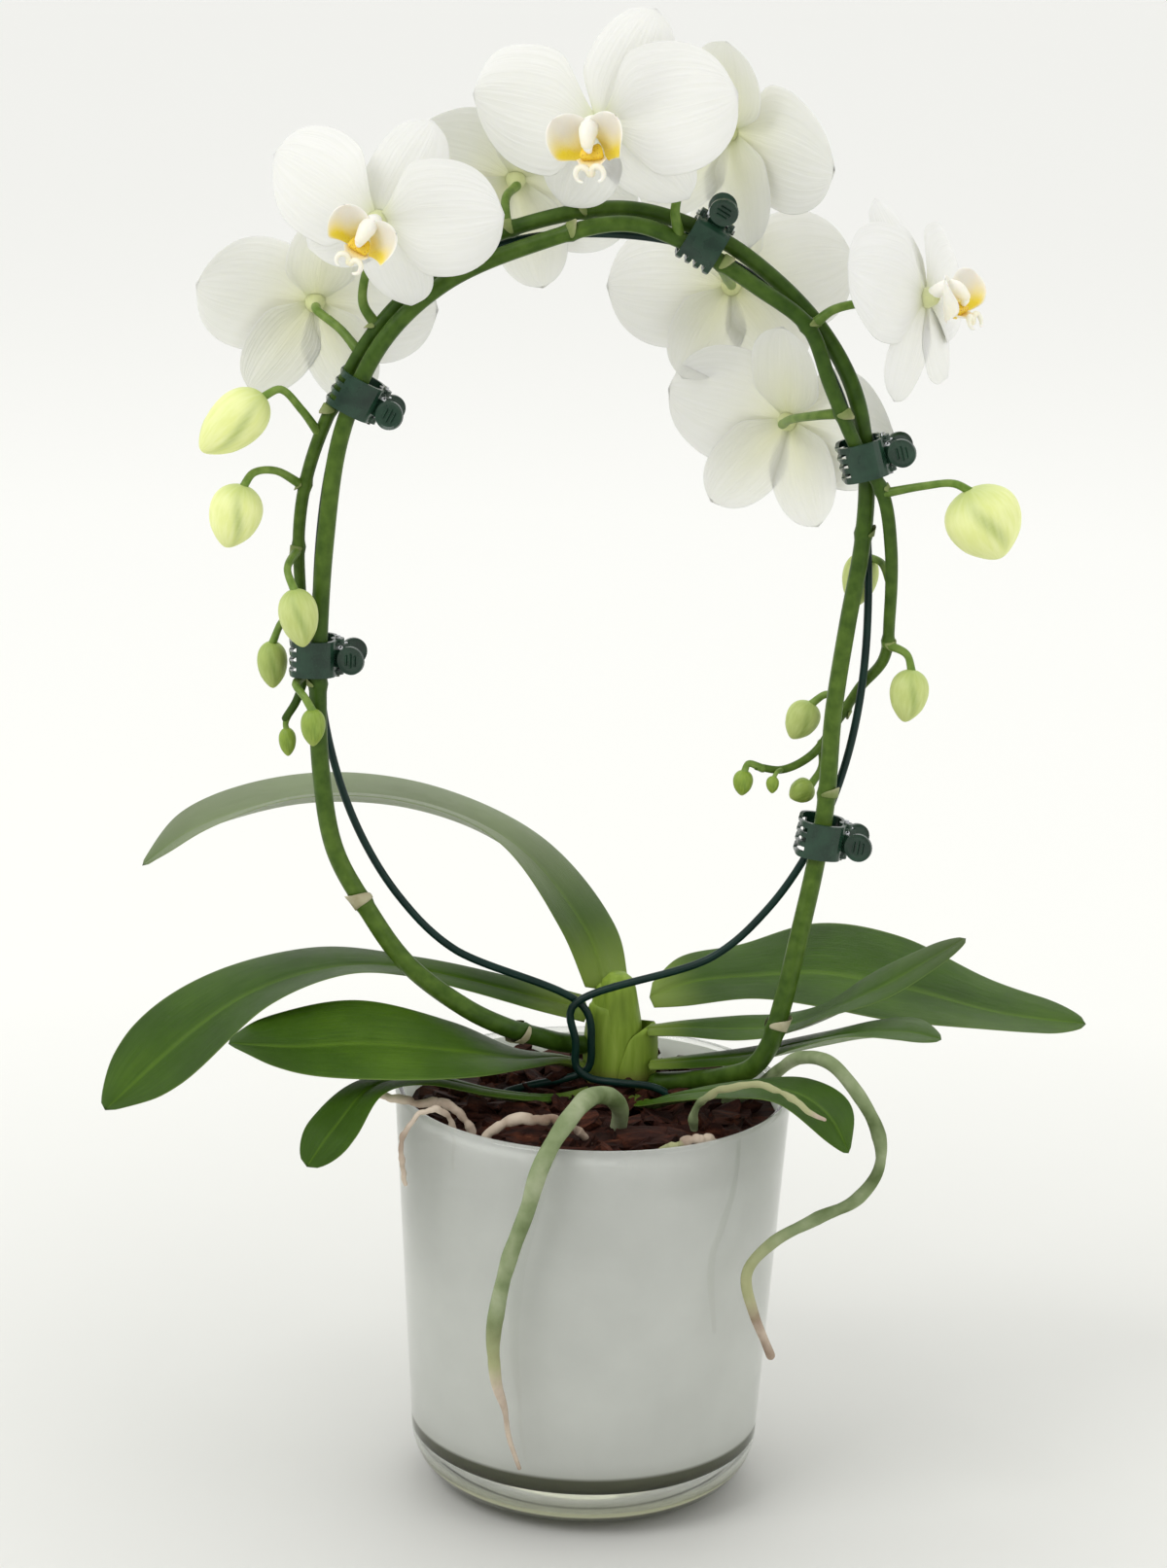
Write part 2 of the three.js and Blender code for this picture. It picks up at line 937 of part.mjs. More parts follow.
function perianth({
  reach,
  dorsal = 0,
  dorsalBack = 12,
  sepalBack = 12,
  rightPetal = 84,
  leftPetal = 84,
}) {
  const petal = {
    length: 1.04 * reach,
    width: reach,
    waist: 0.3,
    back: 10,
    curl: 0.1,
  };
  const sepal = {
    length: 0.92 * reach,
    width: 0.6 * reach,
    waist: 0.5,
    back: sepalBack,
    curl: 0.08,
  };
  return join([
    ellipsoid(
      [FLOWER.receptacle, FLOWER.receptacle, 3],
      [0, 0, -1.2],
      6,
      4,
    ),
    tepal({ ...petal, angle: rightPetal }),
    tepal({ ...petal, angle: -leftPetal }),
    tepal({ ...sepal, angle: dorsal, back: dorsalBack }),
    tepal({ ...sepal, angle: 146 }),
    tepal({ ...sepal, angle: -146 }),
  ]);
}

// The lip and the column above it stand in front of the flower's middle.
function lipGeometry(reach) {
  const size = reach / 42;
  const parts = [
    ellipsoid([3, 3.2, 6], [0, 1.5, 8.4], 6, 4),
    ellipsoid([4.4, 5, 4.4], [0, -4.5, 9], 6, 4),
    ellipsoid([6, 5.4, 2.4], [0, -9.8, 13.6], 6, 4),
    ellipsoid([2.4, 7, 6], [9.2, -3.6, 12], 5, 4),
    ellipsoid([2.4, 7, 6], [-9.2, -3.6, 12], 5, 4),
    ellipsoid([9, 2.4, 2.4], [0, -5.5, 10], 5, 4),
  ];
  return join(parts).scale(size, size, size);
}

// The turn that lays a flower's own axes (Y to its top, Z out of its face) in the world.
function flowerTurn({ faces, top }) {
  const out = vector(faces).normalize();
  const side = vector(top).cross(out).normalize();
  const up = out.clone().cross(side);
  return new THREE.Matrix4().makeBasis(side, up, out);
}

function makeFlower(flower, index) {
  const group = new THREE.Group();
  group.position.set(...flower.at);
  group.quaternion.setFromRotationMatrix(flowerTurn(flower));
  root.add(group);
  const name = `flower_${index + 1}`;
  addMesh(`${name}_petals`, perianth(flower), MATERIALS.petal, group);
  addMesh(`${name}_lip`, lipGeometry(flower.reach), MATERIALS.lip, group);
}

// ---------------------------------------------------------------- aerial roots

const ROOTS = {
  front: {
    points: [
      [9, -27, 139.2],
      [9.5, -34, 150],
      [5, -42, 157],
      [-1, -51, 159.5],
      [-6, -61, 157.5],
      [-12, -70, 151],
      [-17, -73, 141],
      [-21, -72, 125],
      [-27, -70, 104],
      [-31, -68, 82],
      [-30.5, -66.5, 62],
      [-27.5, -65.5, 50],
      [-26, -64, 40],
      [-22, -62, 27],
    ],
    radii: [2.8, 3.1, 3.2, 3.1, 3, 2.8, 2.6, 2.4, 0.9, 0.7],
    steps: 24,
  },
  right: {
    points: [
      [48, 7, 139],
      [54, 1, 144],
      [60, -7, 151],
      [65.5, -20, 160.5],
      [72, -32, 168.5],
      [81, -41, 170],
      [91, -46, 160],
      [98, -47, 147],
      [99, -46, 134],
      [91, -45, 121.5],
      [77, -47, 115],
      [63, -51, 108],
      [54.5, -54, 98],
      [57, -53, 83],
      [64, -49, 66],
    ],
    radii: [2.3, 2.4, 2.4, 2.3, 2.3, 2.2, 2, 1.4],
    steps: 24,
  },
  left_dry: {
    points: [
      [-82, -21, 155],
      [-75, -26, 150],
      [-63, -31, 149.3],
      [-52, -34, 149],
      [-44, -36, 145],
      [-41, -37, 139.5],
    ],
    radii: [0.9, 1.4, 1.5, 1.4],
    steps: 10,
  },
  left_thin: {
    points: [
      [-45, -41, 139.3],
      [-49.5, -43, 147.5],
      [-56, -47, 151],
      [-62, -51, 148.5],
      [-65, -53, 139],
      [-63.5, -51, 126],
    ],
    radii: [1.1, 1.1, 1, 0.8],
    steps: 10,
  },
  loop: {
    points: [
      [-38, -46, 139.5],
      [-32, -48, 146],
      [-17, -48, 149.3],
      [-6, -46, 146.5],
      [-1, -42, 139.5],
    ],
    radii: [1.6, 1.8, 1.7, 1.4],
    steps: 9,
  },
  over_rim: {
    points: [
      [36, -30, 139.2],
      [35, -31.5, 144],
      [36, -34.5, 149.8],
      [38.6, -38.5, 155.2],
      [43.9, -44, 160.2],
      [54.9, -56, 166],
      [62.3, -66, 168.2],
      [67.6, -74, 167.7],
      [73.4, -78, 164.1],
      [77.3, -79, 163.2],
    ],
    radii: [1.5, 1.5, 1.4, 1.3, 1.1, 0.8],
    steps: 16,
  },
  small: {
    points: [
      [23, -51, 139.2],
      [28, -54, 144],
      [35, -53, 146],
      [40, -48, 143.5],
      [43, -43, 139.2],
    ],
    radii: [1.4, 1.6, 1.4],
    steps: 8,
  },
};

function makeRoots() {
  for (const [name, { points, radii, steps }] of Object.entries(ROOTS)) {
    const geometry = taperedTube(points, radii, steps, 6);
    addMesh(`root_${name}`, geometry, MATERIALS.root);
  }
}

// ---------------------------------------------------------------- claw clips

// Where each clip grips, and the way its teeth point, seen from the front: 0 is up, 90 right.
const CLIPS = [
  { at: [-86.5, 1.8, 390], teeth: -63 },
  { at: [-99.8, 1.8, 299], teeth: -90 },
  { at: [29, 1.8, 445], teeth: -150 },
  { at: [86.2, 1.8, 373], teeth: -105 },
  { at: [77.2, 4.2, 238.5], teeth: -82 },
];

// The jaw's cross-section in (depth, grip) for the front jaw: a hook round the stems.
const JAW_INNER = [
  [-2.3, -7.2],
  [-6.4, -5.8],
  [-8.5, -1.8],
  [-8.5, 4.5],
  [-6.6, 7.2],
  [-0.6, 8.6],
];
const JAW_OUTER = [
  [-0.6, 9.6],
  [-7.7, 8.3],
  [-9.8, 4.9],
  [-9.8, -2.3],
  [-7.4, -6.8],
  [-2.3, -8.5],
];

// Shape x is the depth, shape y the grip direction, and the extrusion runs along the pin.
const ACROSS = new THREE.Matrix4().makeBasis(
  new THREE.Vector3(0, 1, 0),
  new THREE.Vector3(0, 0, 1),
  new THREE.Vector3(1, 0, 0),
);

function plateAlongPin(corners, from, to, holes = []) {
  const shape = new THREE.Shape(corners.map(([x, y]) => new THREE.Vector2(x, y)));
  shape.holes.push(...holes);
  return new THREE.ExtrudeGeometry(shape, {
    depth: to - from,
    bevelEnabled: false,
    curveSegments: 3,
  })
    .translate(0, 0, from)
    .applyMatrix4(ACROSS);
}

function ear(from) {
  const outline = [];
  for (let i = 0; i < 6; i++) {
    const angle = (2 * Math.PI * i) / 6;
    outline.push([
      CLIP.earRadius * Math.cos(angle),
      CLIP.hinge + CLIP.earRadius * Math.sin(angle),
    ]);
  }
  outline.splice(3, 1, [-3.4, CLIP.hinge + 0.4], [-3.4, CLIP.hinge - 0.6]);
  const hole = new THREE.Path().absarc(
    0,
    CLIP.hinge,
    CLIP.earHole,
    0,
    2 * Math.PI,
    true,
  );
  return plateAlongPin(outline, from, from + CLIP.earWidth, [hole]);
}

// A jaw: a hooked comb, a round finger pad on a short arm and two ears on the pin.
function jawGeometry(earPlace) {
  const half = CLIP.width / 2;
  const wall = plateAlongPin([...JAW_INNER, ...JAW_OUTER], -half, half);
  const slots = [-1, 0, 1].map((k) =>
    new THREE.BoxGeometry(1.9, 12, 4).translate(3.3 * k, -5.5, 8.2),
  );
  const comb = slots
    .map(toSolid)
    .reduce((left, slot) => left.subtract(slot), toSolid(wall));
  const arm = plateAlongPin(
    [
      [-2.6, -7.9],
      [-5.6, -11.6],
      [-6.8, -10.8],
      [-5.2, -7.5],
    ],
    -3,
    3,
  );
  const pad = new THREE.CylinderGeometry(
    CLIP.padRadius,
    CLIP.padRadius,
    CLIP.wall,
    9,
  )
    .rotateX(THREE.MathUtils.degToRad(-22))
    .translate(0, -7.2, -12.6);
  return toGeometry(
    [arm, pad, ear(earPlace), ear(-earPlace - CLIP.earWidth)]
      .map(toSolid)
      .reduce((joined, next) => joined.add(next), comb),
  );
}

// The steel pin with the torsion spring's coil round its middle.
function pinGeometry() {
  const { pinRadius, coilRadius, width } = CLIP;
  const half = width / 2 + 0.9;
  const coil = 3.7;
  const profile = [
    [0, -half],
    [pinRadius, -half],
    [pinRadius, -coil],
    [coilRadius, -coil],
    [coilRadius, coil],
    [pinRadius, coil],
    [pinRadius, half],
    [0, half],
  ].map(([r, x]) => new THREE.Vector2(r, x));
  return new THREE.LatheGeometry(profile, 7)
    .rotateZ(-Math.PI / 2)
    .translate(0, 0, CLIP.hinge);
}

function makeClip({ at, teeth }, index) {
  const group = new THREE.Group();
  group.position.set(...at);
  group.rotation.y = THREE.MathUtils.degToRad(teeth);
  root.add(group);
  const name = `clip_${index + 1}`;
  addMesh(`${name}_front_jaw`, jawGeometry(4.2), MATERIALS.clip, group);
  const back = jawGeometry(5.3).applyMatrix4(
    new THREE.Matrix4().makeRotationZ(Math.PI),
  );
  addMesh(`${name}_back_jaw`, back, MATERIALS.clip, group);
  addMesh(`${name}_spring_pin`, pinGeometry(), MATERIALS.spring, group);
}

// ---------------------------------------------------------------- the whole plant

makePot();
makeBark(makeHoop());
makeBarkChips();
makeCrown();
for (const [name, leaf] of Object.entries(LEAVES)) makeLeaf(name, leaf);
makeSpike("spike_left", LEFT_SPIKE);
makeSpike("spike_right", RIGHT_SPIKE);
FLOWERS.forEach(makeFlower);
makeRoots();
CLIPS.forEach(makeClip);

export default root;
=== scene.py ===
# %% [markdown]
# # A moth orchid trained round a wire hoop
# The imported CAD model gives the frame: every piece below is made in metres in that frame,
# with +Z up, the origin under the middle of the pot, and -Y towards the front. The routes of
# stems, roots and leaves are the ones the solids follow, so each finer piece lies where its
# solid lies and can stand for it.

# %% Load the frame
import math

import bmesh
import bpy
import numpy as np
from mathutils import Matrix, Vector


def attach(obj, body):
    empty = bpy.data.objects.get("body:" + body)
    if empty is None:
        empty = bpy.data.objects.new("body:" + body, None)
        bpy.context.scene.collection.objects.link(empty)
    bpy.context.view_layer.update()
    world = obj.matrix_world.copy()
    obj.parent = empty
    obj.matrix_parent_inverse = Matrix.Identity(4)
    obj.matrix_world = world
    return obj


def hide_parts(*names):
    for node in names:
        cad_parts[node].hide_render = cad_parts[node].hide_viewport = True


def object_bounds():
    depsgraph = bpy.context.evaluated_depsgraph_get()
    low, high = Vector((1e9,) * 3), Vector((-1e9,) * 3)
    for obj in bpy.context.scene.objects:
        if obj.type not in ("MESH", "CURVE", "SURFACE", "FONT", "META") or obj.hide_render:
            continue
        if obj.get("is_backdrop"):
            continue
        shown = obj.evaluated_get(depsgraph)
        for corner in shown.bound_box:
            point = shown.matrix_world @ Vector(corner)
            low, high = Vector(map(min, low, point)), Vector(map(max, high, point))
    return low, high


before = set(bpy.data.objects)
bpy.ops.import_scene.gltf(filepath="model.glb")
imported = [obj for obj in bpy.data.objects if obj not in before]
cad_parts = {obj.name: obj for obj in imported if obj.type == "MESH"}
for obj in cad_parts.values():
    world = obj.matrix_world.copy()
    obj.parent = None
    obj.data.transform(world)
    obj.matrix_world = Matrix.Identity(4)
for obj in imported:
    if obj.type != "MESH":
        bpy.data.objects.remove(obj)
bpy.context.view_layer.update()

MM = 0.001
BODY = "plant"
rng = np.random.default_rng(7)

# %% [markdown]
# ## Shader maths as Python
# A node tree is easier to read as a formula. `Value` wraps one output socket, so that
# `0.3 * noise + 0.2` adds the Math nodes it needs. `Finish` makes one material and hands
# out its coordinates, noises, ramps and mixes.

# %% A socket that can be calculated with


class Value:
    def __init__(self, finish, socket):
        self.finish, self.socket = finish, socket

    def math(self, operation, *others, clamp=False):
        made = self.finish.add(
            "ShaderNodeMath", {"operation": operation, "use_clamp": clamp}, self, *others
        )
        return made.out()

    def __add__(self, other):
        return self.math("ADD", other)

    def __mul__(self, other):
        return self.math("MULTIPLY", other)

    def __sub__(self, other):
        return self.math("SUBTRACT", other)

    def __rsub__(self, other):
        return self * -1.0 + other

    __radd__, __rmul__ = __add__, __mul__

    def __abs__(self):
        return self.math("ABSOLUTE")

    def sine(self):
        return self.math("SINE")

    def clamp(self):
        return self.math("ADD", 0.0, clamp=True)

    def rises(self, low, high):
        """0 below low, 1 above high, and smooth between them."""
        made = self.finish.add(
            "ShaderNodeMapRange", {"interpolation_type": "SMOOTHSTEP"}, self, low, high
        )
        return made.out()


class Made:
    """A node that was just added, to take outputs from by number or name."""

    def __init__(self, finish, node):
        self.finish, self.node = finish, node

    def out(self, which=0):
        return Value(self.finish, self.node.outputs[which])


def tone(red, green, blue):
    """A linear colour from screen values of 0 to 255."""
    screen = np.array([red, green, blue]) / 255
    linear = np.where(screen < 0.04045, screen / 12.92, ((screen + 0.055) / 1.055) ** 2.4)
    return (*[float(x) for x in linear], 1.0)


class Finish:
    """One material. Numbers that are the same all over go straight on the shader."""

    def __init__(self, name, **same_all_over):
        self.material = bpy.data.materials.new(name)
        self.material.use_nodes = True
        self.tree = self.material.node_tree
        self.shader = self.tree.nodes["Principled BSDF"]
        for socket, value in same_all_over.items():
            self.shader.inputs[socket.replace("_", " ")].default_value = value
        self.where = self.add("ShaderNodeTexCoord")
        self.object = self.where.out("Object")
        self.uv = self.where.out("UV")

    def add(self, kind, settings=None, *sockets, **named):
        """Any node: its settings are set first, then its sockets by place or by name."""
        node = self.tree.nodes.new(kind)
        for key, value in (settings or {}).items():
            if key == "stops":
                ramp = node.color_ramp
                while len(ramp.elements) < len(value):
                    ramp.elements.new(0.5)
                for element, (at, color) in zip(ramp.elements, value):
                    element.position, element.color = at, color
            else:
                setattr(node, key, value)
        pairs = list(enumerate(sockets)) + [(k.replace("_", " "), v) for k, v in named.items()]
        for which, value in pairs:
            if isinstance(value, Value):
                self.tree.links.new(value.socket, node.inputs[which])
            else:
                node.inputs[which].default_value = value
        return Made(self, node)

    def stretched(self, x, y, z, source=None):
        made = self.add(
            "ShaderNodeMapping", {"vector_type": "POINT"}, source or self.object, Scale=(x, y, z)
        )
        return made.out()

    def noise(self, scale, detail=3.0, source=None, roughness=0.5):
        made = self.add(
            "ShaderNodeTexNoise",
            None,
            Vector=source or self.object,
            Scale=scale,
            Detail=detail,
            Roughness=roughness,
        )
        return made.out(0)

    def cells(self, scale):
        made = self.add("ShaderNodeTexVoronoi", None, Vector=self.object, Scale=scale)
        return made.out()

    def split(self, source):
        made = self.add("ShaderNodeSeparateXYZ", None, source)
        return made.out(0), made.out(1), made.out(2)

    def painted(self, name):
        """The three channels of a colour attribute of the mesh."""
        made = self.add("ShaderNodeAttribute", {"attribute_name": name})
        return self.split(made.out("Color"))

    def ramp(self, value, *stops):
        return self.add("ShaderNodeValToRGB", {"stops": stops}, value).out(0)

    def mix(self, factor, first, second):
        made = self.add(
            "ShaderNodeMix", {"data_type": "RGBA", "clamp_factor": True}, factor
        )
        for place, value in ((6, first), (7, second)):
            if isinstance(value, Value):
                self.tree.links.new(value.socket, made.node.inputs[place])
            else:
                made.node.inputs[place].default_value = value
        return made.out(2)

    def color(self, value):
        self.tree.links.new(value.socket, self.shader.inputs["Base Color"])

    def rough(self, value):
        self.tree.links.new(value.socket, self.shader.inputs["Roughness"])

    def bump(self, height, distance, strength=1.0):
        made = self.add(
            "ShaderNodeBump", None, Strength=strength, Distance=distance, Height=height
        )
        self.tree.links.new(made.out().socket, self.shader.inputs["Normal"])


# %% [markdown]
# ## Lines, grids and tubes
# Nearly everything on a plant is a sheet or a tube laid along a smooth line. Both can start
# as one flat grid: its two directions become "round" and "along", every point moves to its
# place by a formula, and the seam and the two ends are welded. The grid's own UV map then
# follows the surface, which suits veins and streaks.

# %% Smooth lines


def route(text):
    """Points out of text: x y z in millimetres, and a comma after each but the last."""
    return [tuple(float(n) for n in point.split()) for point in text.split(",")]


def smooth_line(points, count, dense=24):
    """count points at even steps along a smooth curve through points, in metres."""
    p = np.array(points, float) * MM
    p = np.vstack([2 * p[0] - p[1], p, 2 * p[-1] - p[-2]])
    found = []
    for a, b, c, d in zip(p, p[1:], p[2:], p[3:]):
        t0, t1, t2 = (math.sqrt(np.linalg.norm(y - x)) for x, y in ((a, b), (b, c), (c, d)))
        leave = ((b - a) / t0 - (c - a) / (t0 + t1) + (c - b) / t1) * t1
        reach = ((c - b) / t1 - (d - b) / (t1 + t2) + (d - c) / t2) * t1
        for s in np.arange(dense) / dense:
            found.append(
                (2 * s**3 - 3 * s**2 + 1) * b
                + (s**3 - 2 * s**2 + s) * leave
                + (3 * s**2 - 2 * s**3) * c
                + (s**3 - s**2) * reach
            )
    found = np.array(found + [p[-2]])
    walked = np.r_[0, np.cumsum(np.linalg.norm(np.diff(found, axis=0), axis=1))]
    at = np.linspace(0, walked[-1], count)
    return np.stack([np.interp(at, walked, found[:, k]) for k in range(3)], 1)


def unit(v):
    v = np.asarray(v, float)
    return v / np.maximum(np.linalg.norm(v, axis=-1, keepdims=True), 1e-12)


def directions(line):
    """The tangent at every point of a line, and two directions across it that don't twist."""
    along = unit(np.gradient(line, axis=0))
    first = np.cross(along[0], (0, 0, 1) if abs(along[0][2]) < 0.9 else (0, 1, 0))
    across = [unit(first)]
    for t in along[1:]:
        across.append(unit(across[-1] - t * (across[-1] @ t)))
    across = np.array(across)
    return along, across, np.cross(along, across)


# %% A grid bent into a closed shape


def bend_grid(bm, columns, rows, place, paint=None):
    """Adds a closed form to bm. place(turn, along) gives the points for angles and shares
    of the length; paint(turn, along) gives a colour for the attribute "zone"."""
    bm.loops.layers.uv.verify()
    colors = bm.verts.layers.float_color
    zone = paint and (colors.get("zone") or colors.new("zone"))
    made = bmesh.ops.create_grid(
        bm, x_segments=columns, y_segments=rows, size=0.5, calc_uvs=True
    )["verts"]
    flat = np.array([v.co[:2] for v in made]) + 0.5
    turn, along = 2 * math.pi * flat[:, 0], np.clip(flat[:, 1], 0, 1)
    for v, point in zip(made, place(turn, along)):
        v.co = point
    if paint:
        for v, c in zip(made, paint(turn, along)):
            v[zone] = (*[float(x) for x in c], 1.0)
    bmesh.ops.remove_doubles(bm, verts=made, dist=2e-7)


def tube(bm, line, radii, sides=12, paint=None):
    """A round stem along a line, with rounded ends. radii is spread evenly over the line."""
    radius = np.interp(
        np.linspace(0, 1, len(line)), np.linspace(0, 1, len(radii)), np.array(radii) * MM
    )
    along, across, up = directions(line)
    ends = np.radians([90, 62, 32])
    before = line[0] - np.outer(np.sin(ends) * radius[0], along[0])
    after = line[-1] + np.outer(np.sin(ends[::-1]) * radius[-1], along[-1])
    spine = np.vstack([before, line, after])
    size = np.r_[np.cos(ends) * radius[0], radius, np.cos(ends[::-1]) * radius[-1]]
    size[0] = size[-1] = 0
    pick = np.r_[[0] * 3, np.arange(len(line)), [len(line) - 1] * 3]
    across, up = across[pick], up[pick]

    def place(turn, share):
        k = np.rint(share * (len(spine) - 1)).astype(int)
        c, s = np.cos(turn)[:, None], np.sin(turn)[:, None]
        return spine[k] + size[k][:, None] * (c * across[k] + s * up[k])

    bend_grid(bm, sides, len(spine) - 1, place, paint)


def finish_piece(name, bm, finish, body=BODY, replaces=(), smooth=True):
    """Turns a bmesh into a piece that rides on a body, with its normals outwards."""
    bmesh.ops.recalc_face_normals(bm, faces=bm.faces)
    mesh = bpy.data.meshes.new(name)
    bm.to_mesh(mesh)
    bm.free()
    mesh.polygons.foreach_set("use_smooth", [smooth] * len(mesh.polygons))
    piece = bpy.data.objects.new(name, mesh)
    bpy.context.scene.collection.objects.link(piece)
    mesh.materials.append(finish.material)
    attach(piece, body)
    if replaces:
        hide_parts(*replaces)
    print(name, len(mesh.polygons), "faces")
    return piece


# %% [markdown]
# ## The pot
# A heavy pressed-glass pot: its wall is clear, its foot is a thick block of glass, and the
# inside is coated white. The coating starts a little above the foot, where the dark inside
# shows through as an olive band. The pot is made as two pieces, each spun from one profile:
# the glass, and the lining just inside it.

# %% Glass and coating
POT_HEIGHT, RIM, FOOT, HEEL, LIP = 146, 70, 42, 20, 1.8
FLOOR, FLOOR_RADIUS, INNER_HEEL = 13, 41, 15
BARK_TOP = 137
FOOT_TINT = 0.010, 0.022  # in metres: the foot's olive tint fades out between these heights
COAT_START = 0.0200, 0.0220  # and the white coating fades in between these


def pot_radius(z):
    share = (z - HEEL) / (POT_HEIGHT - HEEL)
    return FOOT + HEEL + (RIM - FOOT - HEEL) * share


def arc(cx, cy, radius, start, end, count):
    angles = np.linspace(start, end, count + 1)
    return [(cx + radius * math.cos(a), cy + radius * math.sin(a)) for a in angles]


def inner_line(top, inset):
    heel = arc(FLOOR_RADIUS, FLOOR + INNER_HEEL, INNER_HEEL - inset, -math.pi / 2, 0, 12)
    return [(0, FLOOR + inset), *heel, (pot_radius(top) - 2 * LIP - inset, top)]


def spin(profile, steps=144):
    """A profile of (radius, height) in millimetres, spun round the upright axis."""
    bm = bmesh.new()
    ring = [bm.verts.new((r * MM, 0, z * MM)) for r, z in profile]
    edges = [bm.edges.new(pair) for pair in zip(ring, ring[1:])]
    bmesh.ops.spin(
        bm,
        geom=ring + edges,
        axis=(0, 0, 1),
        cent=(0, 0, 0),
        angle=2 * math.pi,
        steps=steps,
        use_merge=True,
    )
    bmesh.ops.remove_doubles(bm, verts=bm.verts, dist=1e-6)
    return bm


glass = Finish(
    "pot_glass", Transmission_Weight=1.0, IOR=1.46, Specular_IOR_Level=0.5
)
_, _, z = glass.split(glass.object)
glass.color(glass.mix(z.rises(*FOOT_TINT), tone(150, 152, 122), tone(249, 250, 248)))
glass.rough((1.0 - z.rises(0.010, 0.020)) * 0.08 + glass.noise(60.0, 2.0) * 0.02 + 0.01)
glass.bump(glass.noise(26.0, 2.0), 0.0004, 0.25)

lip_z = POT_HEIGHT - LIP
lip_r = pot_radius(lip_z) - LIP
outside = [
    (0, 0),
    (FOOT * 0.55, 0.0),
    *arc(FOOT, HEEL, HEEL, -math.pi / 2, 0, 20),
    *arc(lip_r, lip_z, LIP, 0, math.pi, 14),
    *inner_line(lip_z, 0)[::-1][1:],
]
finish_piece("pot_of_glass", spin(outside), glass, replaces=["glass_pot"])

coating = Finish("pot_coating")
_, _, z = coating.split(coating.object)
white = coating.ramp(
    coating.noise(34.0, 4.0),
    (0.3, tone(234, 236, 231)),
    (0.7, tone(242, 244, 239)),
)
coating.color(coating.mix(z.rises(*COAT_START), tone(98, 101, 76), white))
coating.rough(coating.noise(220.0) * 0.2 + 0.35)
coating.bump(coating.noise(700.0, 2.0), 0.0001, 0.3)
lining = inner_line(144.4, -0.15) + inner_line(144.4, 0.25)[::-1]
finish_piece("pot_coating", spin(lining), coating)

# %% [markdown]
# ## Bark
# Orchids grow in chips of bark. A few hundred small slabs, each from a divided cube with its
# corners pushed about, are scattered over the filling in layers. They share ten shapes, so a
# chip costs only a few dozen faces.

# %% Bark chips
bark = Finish("bark", Specular_IOR_Level=0.15)
grain = bark.noise(90.0, 5.0, bark.stretched(1.0, 2.6, 2.6), 0.65)
patch = bark.noise(38.0, 2.0)
wood = bark.ramp(
    grain,
    (0.28, tone(14, 7, 5)),
    (0.48, tone(46, 22, 15)),
    (0.66, tone(86, 46, 31)),
    (0.85, tone(150, 106, 78)),
)
bark.color(bark.mix(patch.rises(0.4, 0.7) * 0.5, wood, tone(44, 20, 16)))
bark.rough(grain * 0.25 + 0.68)
bark.bump(grain + 0.4 * bark.noise(300.0, 3.0), 0.0012, 0.8)

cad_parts["bark_mix"].data.materials.clear()
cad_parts["bark_mix"].data.materials.append(bark.material)


def chip_shape():
    bm = bmesh.new()
    bmesh.ops.create_cube(bm, size=1.0)
    bmesh.ops.subdivide_edges(bm, edges=bm.edges, cuts=1, use_grid_fill=True)
    for v in bm.verts:
        corner = sum(abs(c) > 0.4 for c in v.co)
        shrink = (1.0, 1.0, 0.9, 0.78)[corner]
        v.co = Vector(v.co) * shrink + Vector(rng.normal(0, 0.07, 3))
    mesh = bpy.data.meshes.new("chip")
    bm.to_mesh(mesh)
    bm.free()
    return mesh


CHIP_SHAPES = [chip_shape() for _ in range(10)]
CHIPS = bmesh.new()
CHIP_REACH = pot_radius(BARK_TOP) - 2 * LIP - 1.5
LOOSE_CHIPS = BARK_TOP + 3.4  # the middle height of the six biggest chips


def drop_chip(x, y, z, size, heading, tilt):
    before = len(CHIPS.verts)
    CHIPS.from_mesh(CHIP_SHAPES[int(rng.integers(10))])
    CHIPS.verts.ensure_lookup_table()
    turn = Matrix.Rotation(heading, 4, "Z") @ Matrix.Rotation(tilt[0], 4, "X")
    turn = turn @ Matrix.Rotation(tilt[1], 4, "Y") @ Matrix.Diagonal((*size, 1))
    bmesh.ops.transform(
        CHIPS,
        matrix=Matrix.Translation((x * MM, y * MM, z * MM)) @ turn,
        verts=CHIPS.verts[before:],
    )


for layer, (count, height) in enumerate([(190, 136.2), (150, 138.4), (60, 140.4)]):
    for _ in range(count):
        length = rng.uniform(9, 21) * (1 - 0.12 * layer)
        size = np.array([length, length * rng.uniform(0.35, 0.75), rng.uniform(2.5, 5.5)])
        reach = CHIP_REACH - 0.5 * length
        r, a = reach * math.sqrt(rng.uniform(0, 1)), rng.uniform(0, 2 * math.pi)
        drop_chip(
            r * math.cos(a),
            r * math.sin(a),
            height + rng.normal(0, 0.9),
            size * MM,
            rng.uniform(0, math.pi),
            rng.normal(0, 0.34, 2),
        )
for x, y, length, width, thickness, heading in [
    (20, -38, 26, 11, 6, 20),
    (-8, -58, 24, 6, 5, -8),
    (-20, -30, 18, 12, 5, 35),
    (47, -20, 15, 11, 5, 65),
    (-46, 10, 20, 10, 5, 82),
    (36, 38, 22, 14, 6, -40),
]:
    size = np.array([length, width, thickness]) * MM
    drop_chip(x, y, LOOSE_CHIPS, size, math.radians(heading), (0.06, -0.05))
loose = [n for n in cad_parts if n.startswith("bark_chip_")]
finish_piece("bark_chips", CHIPS, bark, replaces=loose, smooth=False)

# %% [markdown]
# ## The hoop
# One length of wire, dipped in dark green plastic. It is a tube along the same route as its
# solid, with a small ripple in the coat.

